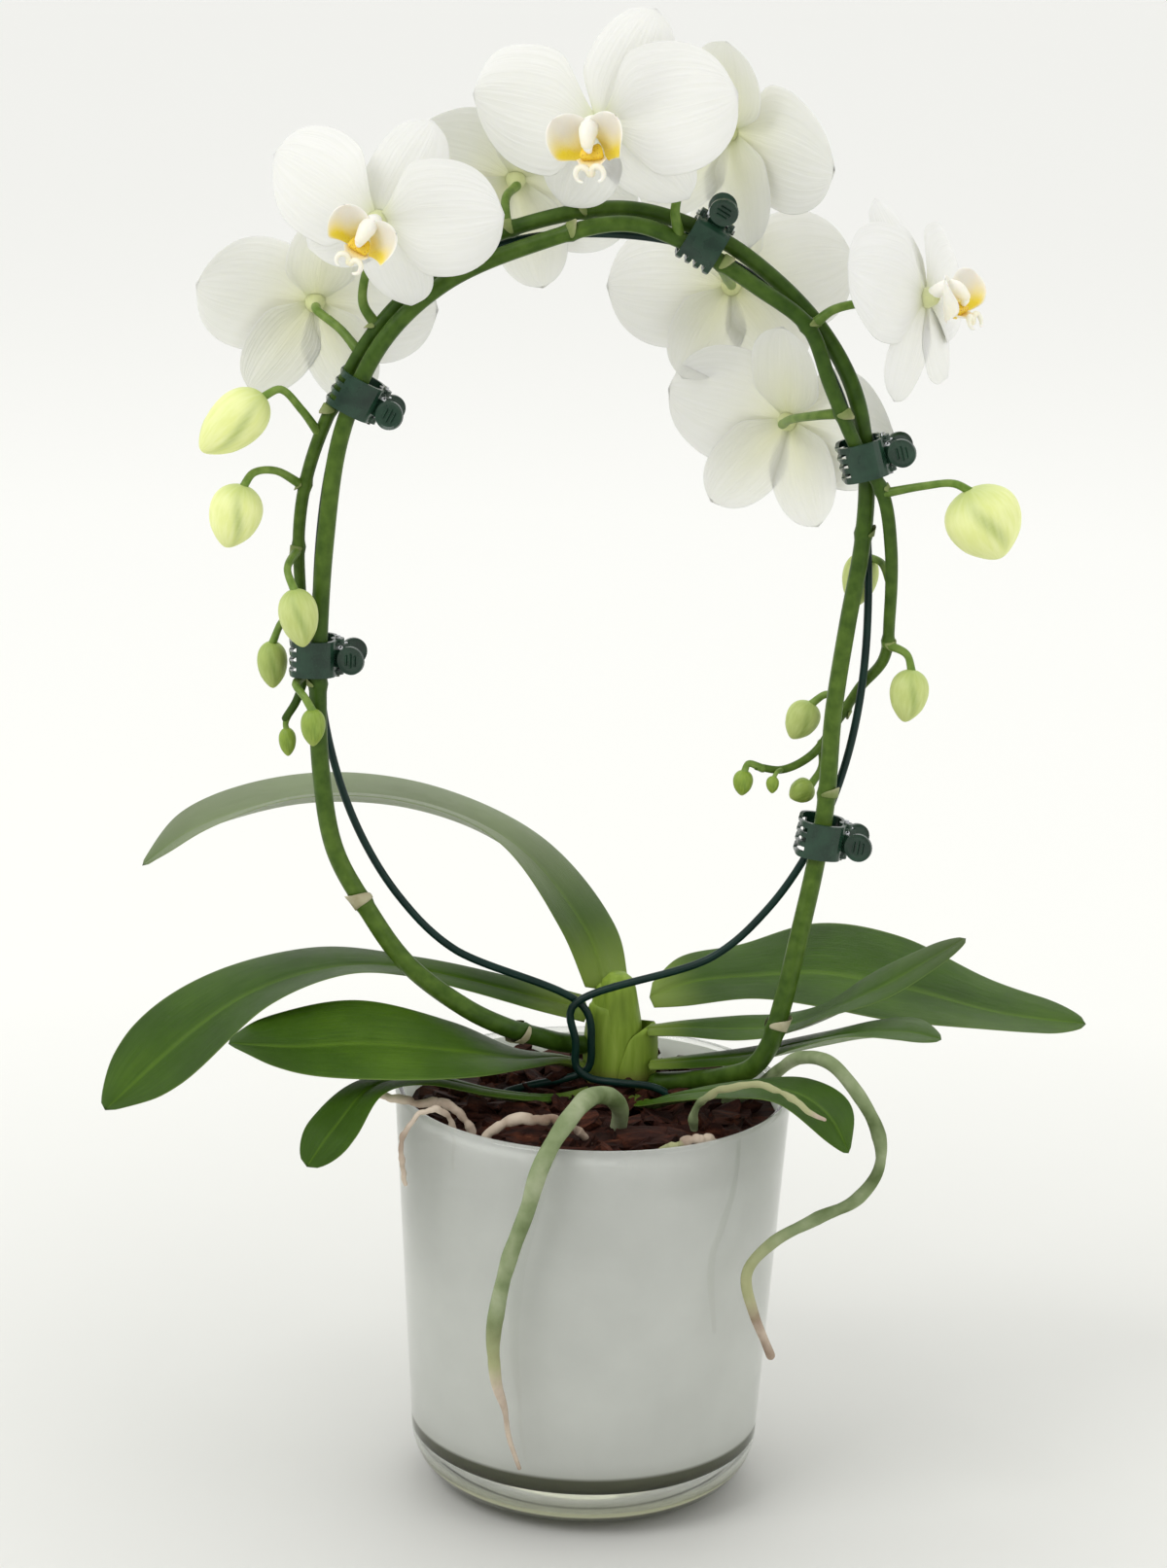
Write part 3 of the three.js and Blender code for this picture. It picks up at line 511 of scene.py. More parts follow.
# %% Coated wire
wire_green = Finish("hoop_coat", Specular_IOR_Level=0.25)
wire_green.color(
    wire_green.ramp(
        wire_green.noise(120.0, 3.0),
        (0.3, tone(4, 32, 28)),
        (0.7, tone(10, 46, 38)),
    )
)
wire_green.rough(wire_green.noise(400.0) * 0.2 + 0.28)
wire_green.bump(wire_green.noise(500.0, 2.0), 0.0002, 0.3)

HOOP_CENTRE, HOOP_WIDE, HOOP_TALL, HOOP_CROSS = (-5, 8.2, 312), 95, 134, 1.6
FRONT_LEG, BACK_LEG = HOOP_CENTRE[1] - HOOP_CROSS, HOOP_CENTRE[1] + HOOP_CROSS


def hoop_point(angle):
    side, rise = -math.sin(angle), -math.cos(angle)
    power = 2 / (2.45 if rise > 0 else 2.1)
    return (
        HOOP_CENTRE[0] + HOOP_WIDE * math.copysign(abs(side) ** power, side),
        HOOP_CENTRE[2] + HOOP_TALL * math.copysign(abs(rise) ** power, rise),
    )


left_foot = [
    (-38, 8.2, 60), (-38, 8.2, 100), (-37, 8.2, 128), (-33, 8.2, 138.5), (-23, 8.7, 142.5),
    (-9, BACK_LEG, 145.5), (-2, BACK_LEG, 149), (-1, BACK_LEG, 158), (-4, BACK_LEG, 172),
]
right_foot = [
    (-8, FRONT_LEG, 173), (-6.5, FRONT_LEG, 160), (-6, FRONT_LEG, 150.5),
    (-1, FRONT_LEG - 1, 147), (9, FRONT_LEG - 3, 146.3), (22, 2, 145.3), (29, 1, 141),
    (31, 1, 130), (31, 1, 100), (31, 1, 60),
]
loop = []
for i in range(2, 25):
    x, z = hoop_point(2 * math.pi * i / 26)
    loop.append((x, HOOP_CENTRE[1] - HOOP_CROSS * ((i - 13) / 13) ** 3, z))
bm = bmesh.new()
tube(bm, smooth_line(left_foot + loop + right_foot, 420), [1.4, 1.4], 12)
finish_piece("coated_hoop", bm, wire_green, replaces=["support_hoop"])

# %% [markdown]
# ## Leaves and crown
# A moth orchid has a fan of thick strap leaves, folded along the midrib. Each is a flattened
# tube whose rings stretch between a back and a front edge: the fold, the groove over the
# midrib and the faint waves of the margin are part of the formula. The grid's UV tells the
# material which face it is on, because the underside is paler.

# %% Leaf skin
ARCH_SHEEN_HEIGHTS = 0.185, 0.235  # in metres: painted sheen, the one leaf that arches up is painted grey-green between these heights, for the glare it catches

leaf_skin = Finish("leaf_skin", Specular_IOR_Level=0.2)
turn, along, _ = leaf_skin.split(leaf_skin.uv)
across = (turn * (2 * math.pi)).math("COSINE")
upper = (turn * (2 * math.pi)).sine().rises(-0.1, 0.1)
blotch = leaf_skin.noise(22.0, 4.0)
sheet = leaf_skin.add("ShaderNodeCombineXYZ", None, across, along, 0.0).out()
lines = leaf_skin.noise(6.0, 3.0, leaf_skin.stretched(26.0, 1.0, 1.0, sheet))
green = leaf_skin.ramp(
    blotch * 0.6 + lines * 0.4,
    (0.30, tone(34, 58, 4)),
    (0.50, tone(54, 86, 6)),
    (0.72, tone(84, 118, 18)),
)
midrib = 1.0 - abs(across).rises(0.0, 0.10)
green = leaf_skin.mix(midrib * 0.3, green, tone(108, 142, 40))
pale = leaf_skin.mix(blotch, tone(92, 118, 58), tone(122, 146, 84))
skin = leaf_skin.mix(upper, pale, green)
base_glow = 1.0 - along.rises(0.0, 0.16)
skin = leaf_skin.mix(base_glow * 0.7, skin, tone(138, 160, 70))
_, _, z = leaf_skin.split(leaf_skin.object)
# Painted sheen: above these heights the leaf turns grey-green, standing in for the bright light
# the arching leaf reflects.
skin = leaf_skin.mix(z.rises(*ARCH_SHEEN_HEIGHTS) * 0.6, skin, tone(142, 152, 118))
edge = abs(across).rises(0.955, 1.0)
leaf_skin.color(leaf_skin.mix(edge * 0.5, skin, tone(120, 142, 72)))
leaf_skin.rough(leaf_skin.noise(160.0, 3.0) * 0.16 + 0.26)
leaf_skin.bump(lines + 0.25 * leaf_skin.noise(240.0, 2.0), 0.0006, 0.5)

# %% The eight leaves: how deep each is folded, its back edge and its front edge
LEAVES = {
    "upper_left": (
        0.22,
        "12 24 175, 6 42 192, -21 60 219, -60 64 235, -110 62 238, -148 55 228, -166 44 211",
        "-3 20 174, -14 24 196, -38 24 227, -70 18 242, -105 14 243, -135 17 231, -161 32 212",
    ),
    "left": (
        0.2,
        "-2.5 25 171, -20 22 176, -64 17 186, -100 15 189, -137 10 179, -162 3 162, -177 -8 137",
        "-2 15 164, -20 9 170, -45 3 178.5, -66 -2 184.5, -88 -22 189, -112 -28 180, "
        "-143 -24 150, -165 -18 136",
    ),
    "lower_left": (
        0.16,
        "-1.5 20 147.5, -12 18 151, -28 6 157, -50 -6 170, -83 -15 179, -110 -22 176, "
        "-128 -33 172",
        "-1.5 15 147, -10 12 150, -22 -4 153, -42 -32 158, -72 -48 162, -100 -54 165, "
        "-123 -46 170",
    ),
    "lowest_left": (
        0.12,
        "-1 15 140.2, -14 2 141.5, -34 -10 147, -60 -21 156, -83 -40 158, -96 -52 149, "
        "-103 -60 138",
        "-1 10 140, -14 -5 141.5, -34 -18 147, -58 -29 154.5, -72 -46 156, -80 -62 146, "
        "-90 -68 134",
    ),
    "right": (
        0.2,
        "19.2 27 175, 30 42 181, 52 56 182, 80 66 187, 110 64 183, 145 54 171, 178 42 165",
        "19.4 18 169.5, 32 20 169.5, 56 24 171, 80 20 170, 108 15 167, 145 15 164, 176 26 161",
    ),
    "right_raised": (
        0.18,
        "19 18 163, 31 18 165, 51 18 167, 67 16 169, 81 11 175, 97 6 188, 126 -6 208",
        "18 12 161, 30 8 162.5, 51 -2 164.5, 66 -6 168, 81 -10 176, 102 -15 186, 130 -13 206",
    ),
    "right_low": (
        0.16,
        "19.6 15 151, 38 12 155, 60 8 160, 82 0 168, 100 -6 175, 112 -10 177, 122 -17 175",
        "19 10 149, 37 5 152, 55 -3 157, 70 -14 166, 88 -32 176, 104 -36 177, 118 -31 174",
    ),
    "lowest_right": (
        0.14,
        "17 8 139.6, 23 -5 142.5, 31 -14 149, 55 -24 158, 74 -40 164, 87 -56 161, 89 -66 149",
        "11 7.5 139.4, 15 -9 142, 26 -22 148, 44 -38 155, 62 -58 161, 74 -70 156, 84 -72 147",
    ),
}


def leaf(name, keel, back, front, rows=96, columns=44):
    back, front = (smooth_line(route(edge), rows + 1) for edge in (back, front))
    middle, half = (back + front) / 2, (back - front) / 2
    along = unit(np.gradient(middle, axis=0))
    up = unit(np.cross(along, half))
    if up[rows // 2][2] < 0:
        up = -up
    wide = np.linalg.norm(half, axis=1)
    share = np.linspace(0, 1, rows + 1)
    tip = np.clip((share - 0.9) / 0.1, 0, 1)
    shut = np.sqrt(1 - tip**2)
    shut[0] = 0
    phase = rng.uniform(0, 6)

    def place(turn, s):
        k = np.rint(s * rows).astype(int)
        x, side = np.cos(turn), np.sin(turn)
        flat = np.sqrt(x**2 + 0.012) - 0.5
        arch = -0.10 * (np.abs(x) - 0.5) ** 2
        thick = (1.5 - 0.7 * s) * (1.1 - 0.5 * x**2) * side
        groove = -0.55 * np.exp(-((x / 0.07) ** 2)) * (1 - 0.5 * s)
        wave = 0.035 * x**2 * np.sin(9 * s + phase + 1.2 * np.sign(x)) * np.sin(math.pi * s)
        lift = (keel * flat + arch + wave) * wide[k] * shut[k]
        lift = lift + (thick + groove) * MM * np.where(shut[k] > 0, np.sqrt(shut[k]), 0)
        spot = middle[k] + (x * shut[k])[:, None] * half[k]
        return spot + lift[:, None] * up[k]

    bm = bmesh.new()
    bend_grid(bm, columns, rows, place)
    node = f"leaf_{name}"
    finish_piece(f"strap_{name}", bm, leaf_skin, replaces=[node])


for name, (keel, back, front) in LEAVES.items():
    leaf(name, keel, back, front)

# %% The crown: the leaves' folded bases, one inside the other
sheath = Finish("sheath", Specular_IOR_Level=0.25)
_, _, z = sheath.split(sheath.object)
streak = sheath.noise(60.0, 4.0, sheath.stretched(6.0, 6.0, 0.6))
young = sheath.ramp(
    streak,
    (0.30, tone(112, 138, 42)),
    (0.55, tone(130, 156, 54)),
    (0.78, tone(150, 174, 74)),
)
old = sheath.mix(streak, tone(88, 70, 40), tone(146, 128, 80))
sheath.color(sheath.mix(z.rises(0.139, 0.150), old, young))
sheath.rough(streak * 0.3 + 0.35)
sheath.bump(streak, 0.0002, 0.25)

CROWN_X, CROWN_Y = 9, 20
CROWN_WIDE, CROWN_DEEP = 1.3, 0.86


def sheath_scale(bm, heading, low, high, radius, wrap, lean):
    """One leaf base: a thick scale wrapped part of the way round the crown."""

    def place(turn, s):
        blunt = np.sqrt(np.clip(1 - (2 * s - 1) ** 8, 0, 1))
        a = heading + np.cos(turn) * wrap * (1 - 0.3 * s**2) * blunt
        outward = radius * (0.86 + 0.18 * np.sin(math.pi * s**0.8)) + lean * s**2
        r = outward + 0.9 * np.sin(turn) * blunt
        x, y = CROWN_X + CROWN_WIDE * r * np.cos(a), CROWN_Y + CROWN_DEEP * r * np.sin(a)
        return np.stack([x, y, low + (high - low) * s], 1) * MM

    bend_grid(bm, 28, 16, place)


bm = bmesh.new()
tube(bm, smooth_line([(9, 20, 137), (9, 20, 155), (8, 20, 176)], 30), [6.5, 8.4, 8.2, 6.5], 28)
for heading, low, high, radius, wrap, lean in [
    (0.1, 138, 164, 9.2, 1.75, 1.6),
    (math.pi + 0.2, 138, 172, 8.8, 1.7, 0.0),
    (math.pi - 0.1, 150, 178, 7.8, 1.6, -1.0),
]:
    sheath_scale(bm, heading, low, high, radius, wrap, lean)
finish_piece("leaf_bases", bm, sheath, replaces=["crown"])

# %% [markdown]
# ## Spikes, stalks and buds
# The two flower spikes are tubes that thin from the crown to the last bud. Every so often a
# spike has a node: a slight collar with a small dry bract pressed to it. The flower stalks
# and the buds' stalks are thinner tubes of the same skin. A bud is an egg of three closed
# sepals, so three shallow seams run from its base to its blunt point.

# %% Stem skin and bud skin
stem_skin = Finish("stem_skin", Specular_IOR_Level=0.18)
speck = stem_skin.noise(240.0, 4.0)
bands = stem_skin.noise(9.0, 2.0)
tender, _, _ = stem_skin.painted("zone")
dark = stem_skin.ramp(speck, (0.3, tone(40, 66, 12)), (0.7, tone(56, 84, 22)))
light = stem_skin.ramp(speck, (0.3, tone(60, 86, 22)), (0.7, tone(86, 112, 40)))
thin_green = stem_skin.ramp(speck, (0.3, tone(96, 128, 46)), (0.7, tone(138, 162, 82)))
skin = stem_skin.mix(bands.rises(0.35, 0.65), dark, light)
stem_skin.color(stem_skin.mix(tender, skin, thin_green))
stem_skin.rough(speck * 0.25 + 0.26)
stem_skin.bump(speck + bands, 0.0003, 0.35)

bud_skin = Finish("bud_skin", Specular_IOR_Level=0.35, Subsurface_Weight=0.15)
bud_skin.shader.inputs["Subsurface Radius"].default_value = (0.003, 0.003, 0.001)
_, along, _ = bud_skin.split(bud_skin.uv)
streaks = bud_skin.noise(4.0, 2.0, bud_skin.stretched(9.0, 1.2, 1.0, bud_skin.uv))
ripe, seam, _ = bud_skin.painted("zone")
young = bud_skin.mix(streaks.rises(0.2, 0.8), tone(118, 144, 46), tone(142, 166, 64))
full = bud_skin.mix(streaks.rises(0.2, 0.8), tone(228, 235, 152), tone(238, 243, 176))
lime = bud_skin.mix(ripe, young, full)
lime = bud_skin.mix((1.0 - along.rises(0.0, 0.4)) * 0.5, lime, tone(138, 168, 62))
lime = bud_skin.mix(along.rises(0.6, 1.0) * 0.3, lime, tone(214, 220, 140))
# Painted shade: the seams are painted darker green, as the shade in their shallow grooves.
bud_skin.color(bud_skin.mix(seam * 0.5, lime, tone(112, 142, 52)))
bud_skin.rough(bud_skin.noise(300.0) * 0.2 + 0.36)
bud_skin.bump(streaks, 0.0001, 0.25)

bract_skin = Finish("bract_skin", Specular_IOR_Level=0.3)
fibre = bract_skin.noise(140.0, 4.0)
dryness, _, _ = bract_skin.painted("zone")
fresh = bract_skin.ramp(fibre, (0.3, tone(84, 108, 38)), (0.7, tone(122, 140, 66)))
papery = bract_skin.ramp(fibre, (0.3, tone(158, 150, 116)), (0.7, tone(202, 196, 168)))
bract_skin.color(bract_skin.mix(dryness, fresh, papery))
bract_skin.rough(fibre * 0.2 + 0.55)
bract_skin.bump(fibre, 0.0004, 0.5)

# %% Where the flowers are
# Position, the way each faces, the way its top points, half width, and what is lopsided:
# its top sepal's and its petals' headings, and how far its sepals lean back.
FLOWERS = [
    dict(at=(-79, -31, 453), faces=(-0.3, -0.91, -0.27), top=(0.5, 0, 1), reach=41,
         dorsal_back=30, right_petal=92, left_petal=60),
    dict(at=(-103, 28, 417.5), faces=(-0.12, 0.97, 0.2), top=(0.1, 0, 1), reach=41),
    dict(at=(-35.2, 32, 461), faces=(-0.1, 0.93, 0.35), top=(0.3, 0, 1), reach=42),
    dict(at=(-7, -27, 486), faces=(-0.26, -0.93, -0.25), top=(-0.12, 0, 1), reach=45,
         dorsal=-32, right_petal=77),
    dict(at=(37.5, 34, 479), faces=(0.5, 0.84, 0.25), top=(0.3, 0, 1), reach=44),
    dict(at=(41, 69.5, 421), faces=(0.02, 0.97, -0.2), top=(-0.14, 0, 1), reach=43),
    dict(at=(105, 3, 428), faces=(0.84, -0.5, 0.2), top=(-0.15, 0, 1), reach=41,
         sepal_back=4, right_petal=64),
    dict(at=(62, 44, 378), faces=(0.45, 0.88, 0.1), top=(0.12, 0, 1), reach=43),
]
STALK_END = 5.4  # how far behind its flower's middle a stalk ends

# %% Routes of the spikes
# For each: the route of its stem with radii spread evenly along it, where its nodes are, the
# stalk of each numbered flower, and each bud's width, its tip and the route of its stalk.
LEFT_SPIKE = {
    "stem": (
        "-4.6 17.5 155.5, -12 12 158, -20 4 162.5, -31 -5 168.5, -45 -8 176, -66 -6 191, "
        "-81 -4 211, -92 -3.2 231, -97 -3.2 258, -98.5 -3.2 290, -96.5 -3.2 340, -91 -3.2 379, "
        "-78 -3.2 409, -58 -3.2 429, -30 -3.2 442.5, 2 -3.2 451, 22 -3.2 445.5, 48 -3.2 430.5, "
        "65 -3.2 418, 73.5 -3.2 398, 83 -3.2 377.5, 92.5 -3.2 362, 96.5 0 342, 97.5 6 318, "
        "96.5 11 301, 89 14.5 290, 82 15.5 278, 73.5 14.5 265.5, 63 11 260.5, 54 10 261.5"
    ),
    "radii": [3.5, 3.3, 3.2, 3.1, 3, 2.9, 2.8, 2.7, 2.4, 2, 1.3],
    "nodes": (
        "-26 0 166, -82 -4 213, -98 -3 290, -15 -3.2 447, 65 -3.2 418, 77 -3.2 389, "
        "92 -3.2 363, 97 7 307, 84 15 282, 35 -3.2 437"
    ),
    "stalks": {
        5: "21 -3.2 446.5, 19 -5.5 456, 21 -1 464, 26 11 470, 32 23 475",
        6: "35 -3.2 437.5, 36.5 10 433.5, 38 28 429, 39.7 48 425",
        7: "66 -3.2 418, 73 -4 424, 84 -2 426.5, 93 3 426",
        8: "77.5 -3.2 389, 70 3 387, 62 18 383",
    },
    "buds": [
        (26, (133, -10, 342), "92.5 -4 362, 106 -7 365.5, 116 -9 367, 122 -10 364.5"),
        (13.5, (104, 2, 281), "97 8 307, 104 6 304, 106 4 298"),
        (12.5, (86, 17.5, 318), "97 3 330, 94 12 335, 88.5 16.5 336"),
        (12, (66, 18, 270), "84 15 282, 78 19 286, 72 19 282"),
        (9, (66, 13, 250), "76.5 16 269, 77 17 260.5, 73 14 254"),
        (7, (49, 10, 251), "56 10 261, 51 10 262.5, 49.5 10 259"),
        (4.5, (59.5, 6.5, 253), "63 11 260.5, 61 7.5 260.5, 59.5 6.5 258"),
    ],
}

RIGHT_SPIKE = {
    "stem": (
        "23 15 143, 34 9 146, 46 -2 151.5, 55.5 -10.5 158, 61 -13 167, 65 -11 181, "
        "70.5 -5 206, 75 0 228, 78 2 250, 79.5 3.2 284, 83 3.2 315, 87 3.2 345, 87 3.2 370, "
        "82 3.2 395, 70 3.2 416, 52 3.7 434, 32 4.2 447, 4 4.2 455, -26 4.2 450.5, "
        "-54 4.2 438, -80 3.2 413, -94 3.2 388, -103 3.2 363, -106 3.2 342, -104.5 3.2 312, "
        "-103 3.2 296, -106 3.2 283, -110 3.2 276"
    ),
    "radii": [3.6, 3.4, 3.2, 3, 2.9, 2.8, 2.8, 2.7, 2.4, 2.1, 1.4],
    "nodes": (
        "63 -12 173, 78 2 254, 87 3.2 347, -36 4 447, -80 3.2 413, -95 3.2 385, -105 3.2 358, "
        "-106 3.2 336, -103 3.2 290, -11 4.2 455"
    ),
    "stalks": {
        1: "-80.5 3.2 413.5, -85 2 421, -84 0 432, -79 -8 444, -75 -18 451",
        2: "-86 3.2 404, -93 9 411, -101 15 416",
        3: "-37 4.2 447, -38 12 456",
        4: "-11 4.2 455, -10 3 467, -7 -9 480",
    },
    "buds": [
        (18.5, (-138, -14, 372), "-99.5 3.2 376, -105 -3 385, -112 -7 392.5, -118 -10 390"),
        (18, (-130, -8, 338), "-105 3.2 358, -114 -3 364, -121 -6 363.5, -124.5 -8 358.5"),
        (13.5, (-103, -12.5, 305), "-106 3.2 336, -109 -8 331, -106 -12.5 324"),
        (10.5, (-115, 10, 285), "-104.5 3.2 311, -111 6 310, -115.5 10 300.5"),
        (8.5, (-99.5, -11.5, 270), "-104 3.2 291, -106 -5 290, -102.5 -11 287, -99.5 -11.5 282"),
        (6, (-109, 3.2, 262.5), "-109 3.2 277.5, -110 3.2 274, -109.5 3.2 271.5"),
    ],
}


YOUNG, RIPE = 8, 18  # a bud up to the first width is green, and from the second it is lime


def bud(bm, base, tip, width):
    base, tip = np.array(base, float), np.array(tip, float)
    length = np.linalg.norm(tip - base)
    along = (tip - base) / length
    across = unit(np.cross(along, (0, 1, 0.2)))
    up = np.cross(along, across)
    start = base - 1.2 * along

    def crease(turn, t):
        """1 on the three seams, which wind a little towards the tip."""
        return np.abs(np.cos(1.5 * (turn + 0.9 * t) + 0.4)) ** 22 * np.sin(math.pi * t)

    def paint(turn, s):
        ripe = np.clip((width - YOUNG) / (RIPE - YOUNG), 0, 1)
        # The second channel marks the seams, where the bud skin paints shade in darker green.
        seam = crease(turn, 0.5 - 0.5 * np.cos(math.pi * s))
        return np.stack([0 * s + ripe, seam, 0 * s], 1)

    def place(turn, s):
        t = 0.5 - 0.5 * np.cos(math.pi * s)
        egg = np.sqrt(np.clip(1 - (2 * t - 1) ** 2, 0, 1)) * (1.18 - 0.38 * t)
        seam = 1 - 0.07 * crease(turn, t)
        point = 1 - 0.22 * np.clip((t - 0.72) / 0.28, 0, 1) ** 1.5
        r = 0.5 * width * egg * seam * point
        c, d = (np.cos(turn) * r)[:, None], (np.sin(turn) * r * 0.9)[:, None]
        spot = start + (t * (length + 1.2))[:, None] * along + c * across + d * up
        return spot * MM

    bend_grid(bm, 42, 26, place, paint)


def collar(line, radii, nodes):
    """Radii along a line with a slight swelling at the node nearest to each given point."""
    share = np.linspace(0, 1, len(line))
    radius = np.interp(share, np.linspace(0, 1, len(radii)), radii)
    for node in nodes:
        k = int(np.argmin(np.linalg.norm(line - np.array(node) * MM, axis=1)))
        away = np.linalg.norm(line - line[k], axis=1) / MM
        radius = radius + 0.5 * np.exp(-((away / 1.5) ** 2))
    return radius


def bract(bm, line, k, radius, out, size, wrap, dry):
    """A small pointed scale that grips the stem at line[k] and points along it."""
    along = unit(line[min(k + 1, len(line) - 1)] - line[k - 1])
    out = unit(np.array(out, float) - along * (np.array(out, float) @ along))
    side = np.cross(along, out)

    def place(turn, s):
        grip = (1 - s**2.2) * np.sqrt(np.clip(1 - (1 - s) ** 12, 0, 1))
        a = np.cos(turn) * wrap * grip
        r = radius + 0.28 + 0.22 * np.sin(turn) * (1 - s) * np.sqrt(s) + 0.5 * s**2
        spot = (r * np.cos(a))[:, None] * out + (r * np.sin(a))[:, None] * side
        return line[k] + (spot + (size * s - 1)[:, None] * along) * MM

    def paint(turn, s):
        return np.stack([np.clip(dry + 0.6 * s**3, 0, 1), 0 * s, 0 * s], 1)

    bend_grid(bm, 20, 8, place, paint)


STEM_STEPS = 520
HOOP_MIDDLE = np.array((-5, 4, 312)) * MM
LOW_NODE = 220  # below this height a node's bract is long, and dry


def full_green(turn, s):
    """The stem. It is painted too, because an unpainted vertex would read as 1."""
    return np.zeros((len(s), 3))


def tender_green(turn, s):
    return np.stack([0.35 + 0.65 * s, 0 * s, 0 * s], 1)


def spike(side, data):
    line, nodes = smooth_line(route(data["stem"]), STEM_STEPS), route(data["nodes"])
    stem, scales, buds = bmesh.new(), bmesh.new(), bmesh.new()
    radius = collar(line, data["radii"], nodes)
    tube(stem, line, radius, 16, full_green)
    for number, node in enumerate(nodes):
        k = int(np.argmin(np.linalg.norm(line - np.array(node) * MM, axis=1)))
        out = line[k] - HOOP_MIDDLE + np.array((0, -0.06 if number % 2 else 0.04, 0))
        size, wrap, dry = (6.5, 2.9, 0.9) if node[2] < LOW_NODE else (4.2, 1.7, 0.15)
        bract(scales, line, max(k, 1), radius[k], out, size, wrap, dry)
    for number, points in data["stalks"].items():
        bloom = FLOWERS[number - 1]
        foot = np.array(bloom["at"]) - STALK_END * unit(bloom["faces"])
        path = smooth_line([*route(points), tuple(foot)], 60)
        tube(stem, path, [1.95, 1.6, 1.5, 1.5, 1.5, 1.7], 12, tender_green)
    for width, tip, points in data["buds"]:
        thin = min(1.3, width / 6)
        points = route(points)
        path = smooth_line(points, 30)
        tube(stem, path, [1.3 * thin, 1.1 * thin, thin, 1.15 * thin], 10, tender_green)
        bud(buds, points[-1], tip, width)
    finish_piece(f"stem_{side}", stem, stem_skin, replaces=[f"spike_{side}"])
    finish_piece(f"bracts_{side}", scales, bract_skin)
    finish_piece(f"buds_{side}", buds, bud_skin)


spike("left", LEFT_SPIKE)
spike("right", RIGHT_SPIKE)

# %% [markdown]
# ## Aerial roots
# Living roots are plump and wrapped in silvery velamen, green where they are damp. They bend
# in uneven kinks, and an end that has died back is a thin brown thread. A little noise in the
# radius and in the path breaks the evenness of a plain tube.

# %% Root skin
velamen = Finish("velamen", Specular_IOR_Level=0.2)
mottle = velamen.noise(70.0, 4.0)
silver = velamen.ramp(
    mottle,
    (0.30, tone(92, 108, 66)),
    (0.50, tone(130, 144, 104)),
    (0.72, tone(166, 174, 142)),
)
tan = velamen.ramp(mottle, (0.3, tone(132, 108, 90)), (0.7, tone(214, 200, 182)))
yellowing, dried, _ = velamen.painted("zone")
velamen.color(
    velamen.mix(dried, velamen.mix(yellowing * 0.7, silver, tone(178, 176, 132)), tan)
)
velamen.rough(mottle * 0.2 + 0.6)
velamen.bump(mottle + 0.5 * velamen.noise(420.0, 3.0), 0.0006, 0.7)

# %% Routes of the roots
# For each: its radii, spread evenly along it, the shares of its length where it turns yellow
# and where it is dry, and its route.
ROOTS = {
    "front": (
        [2.8, 3.1, 3.2, 3.1, 3, 2.8, 2.6, 2.4, 0.9, 0.7], 0.66, 0.77,
        "9 -27 139.2, 9.5 -34 150, 5 -42 157, -1 -51 159.5, -6 -61 157.5, -12 -70 151, "
        "-17 -73 141, -21 -72 125, -27 -70 104, -31 -68 82, -30.5 -66.5 62, -27.5 -65.5 50, "
        "-26 -64 40, -22 -62 27",
    ),
    "right": (
        [2.3, 2.4, 2.4, 2.3, 2.3, 2.2, 2, 1.4], 0.72, 0.86,
        "48 7 139, 54 1 144, 60 -7 151, 65.5 -20 160.5, 72 -32 168.5, 81 -41 170, 91 -46 160, "
        "98 -47 147, 99 -46 134, 91 -45 121.5, 77 -47 115, 63 -51 108, 54.5 -54 98, 57 -53 83, "
        "64 -49 66",
    ),
    "left_dry": (
        [0.9, 1.4, 1.5, 1.4], -0.5, -0.1,
        "-82 -21 155, -75 -26 150, -63 -31 149.3, -52 -34 149, -44 -36 145, -41 -37 139.5",
    ),
    "left_thin": (
        [1.1, 1.1, 1, 0.8], -0.5, -0.1,
        "-45 -41 139.3, -49.5 -43 147.5, -56 -47 151, -62 -51 148.5, -65 -53 139, -63.5 -51 126",
    ),
    "loop": (
        [1.6, 1.8, 1.7, 1.4], -0.4, 0.02,
        "-38 -46 139.5, -32 -48 146, -17 -48 149.3, -6 -46 146.5, -1 -42 139.5",
    ),
    "over_rim": (
        [1.5, 1.5, 1.4, 1.3, 1.1, 0.8], 0.2, 0.9,
        "36 -30 139.2, 35 -31.5 144, 36 -34.5 149.8, 38.6 -38.5 155.2, 43.9 -44 160.2, "
        "54.9 -56 166, 62.3 -66 168.2, 67.6 -74 167.7, 73.4 -78 164.1, 77.3 -79 163.2",
    ),
    "small": (
        [1.4, 1.6, 1.4], -0.4, 0.3,
        "23 -51 139.2, 28 -54 144, 35 -53 146, 40 -48 143.5, 43 -43 139.2",
    ),
}
ROOT_STEPS, KNOT_STEP = 150, 6
PLUMP = 2  # a root that is anywhere thicker than this is alive, and less crooked

for name, (radii, start, dry, points) in ROOTS.items():
    line = smooth_line(route(points), ROOT_STEPS)
    crooked, knotty = (0.07, 0.09) if max(radii) > PLUMP else (0.15, 0.2)
    wander = np.cumsum(rng.normal(0, 1, (ROOT_STEPS, 3)), axis=0)
    wander = wander - np.linspace(wander[0], wander[-1], ROOT_STEPS)
    for _ in range(6):
        wander[1:-1] = (wander[:-2] + wander[1:-1] + wander[2:]) / 3
    line = line + wander * crooked * MM
    steps = np.arange(ROOT_STEPS)
    at = np.arange(0, ROOT_STEPS + 1, KNOT_STEP)
    knots = 1 + knotty * np.interp(steps, at, rng.normal(0, 1, len(at)))
    share = np.linspace(0, 1, ROOT_STEPS)
    radius = np.interp(share, np.linspace(0, 1, len(radii)), radii) * knots

    def age(turn, s):
        first = np.clip((s - start) / 0.12, 0, 1)
        second = np.clip((s - dry) / 0.05, 0, 1)
        return np.stack([first, second, 0 * s], 1)

    bm = bmesh.new()
    tube(bm, line, radius, 14, age)
    finish_piece(f"aerial_{name}", bm, velamen, replaces=[f"root_{name}"])

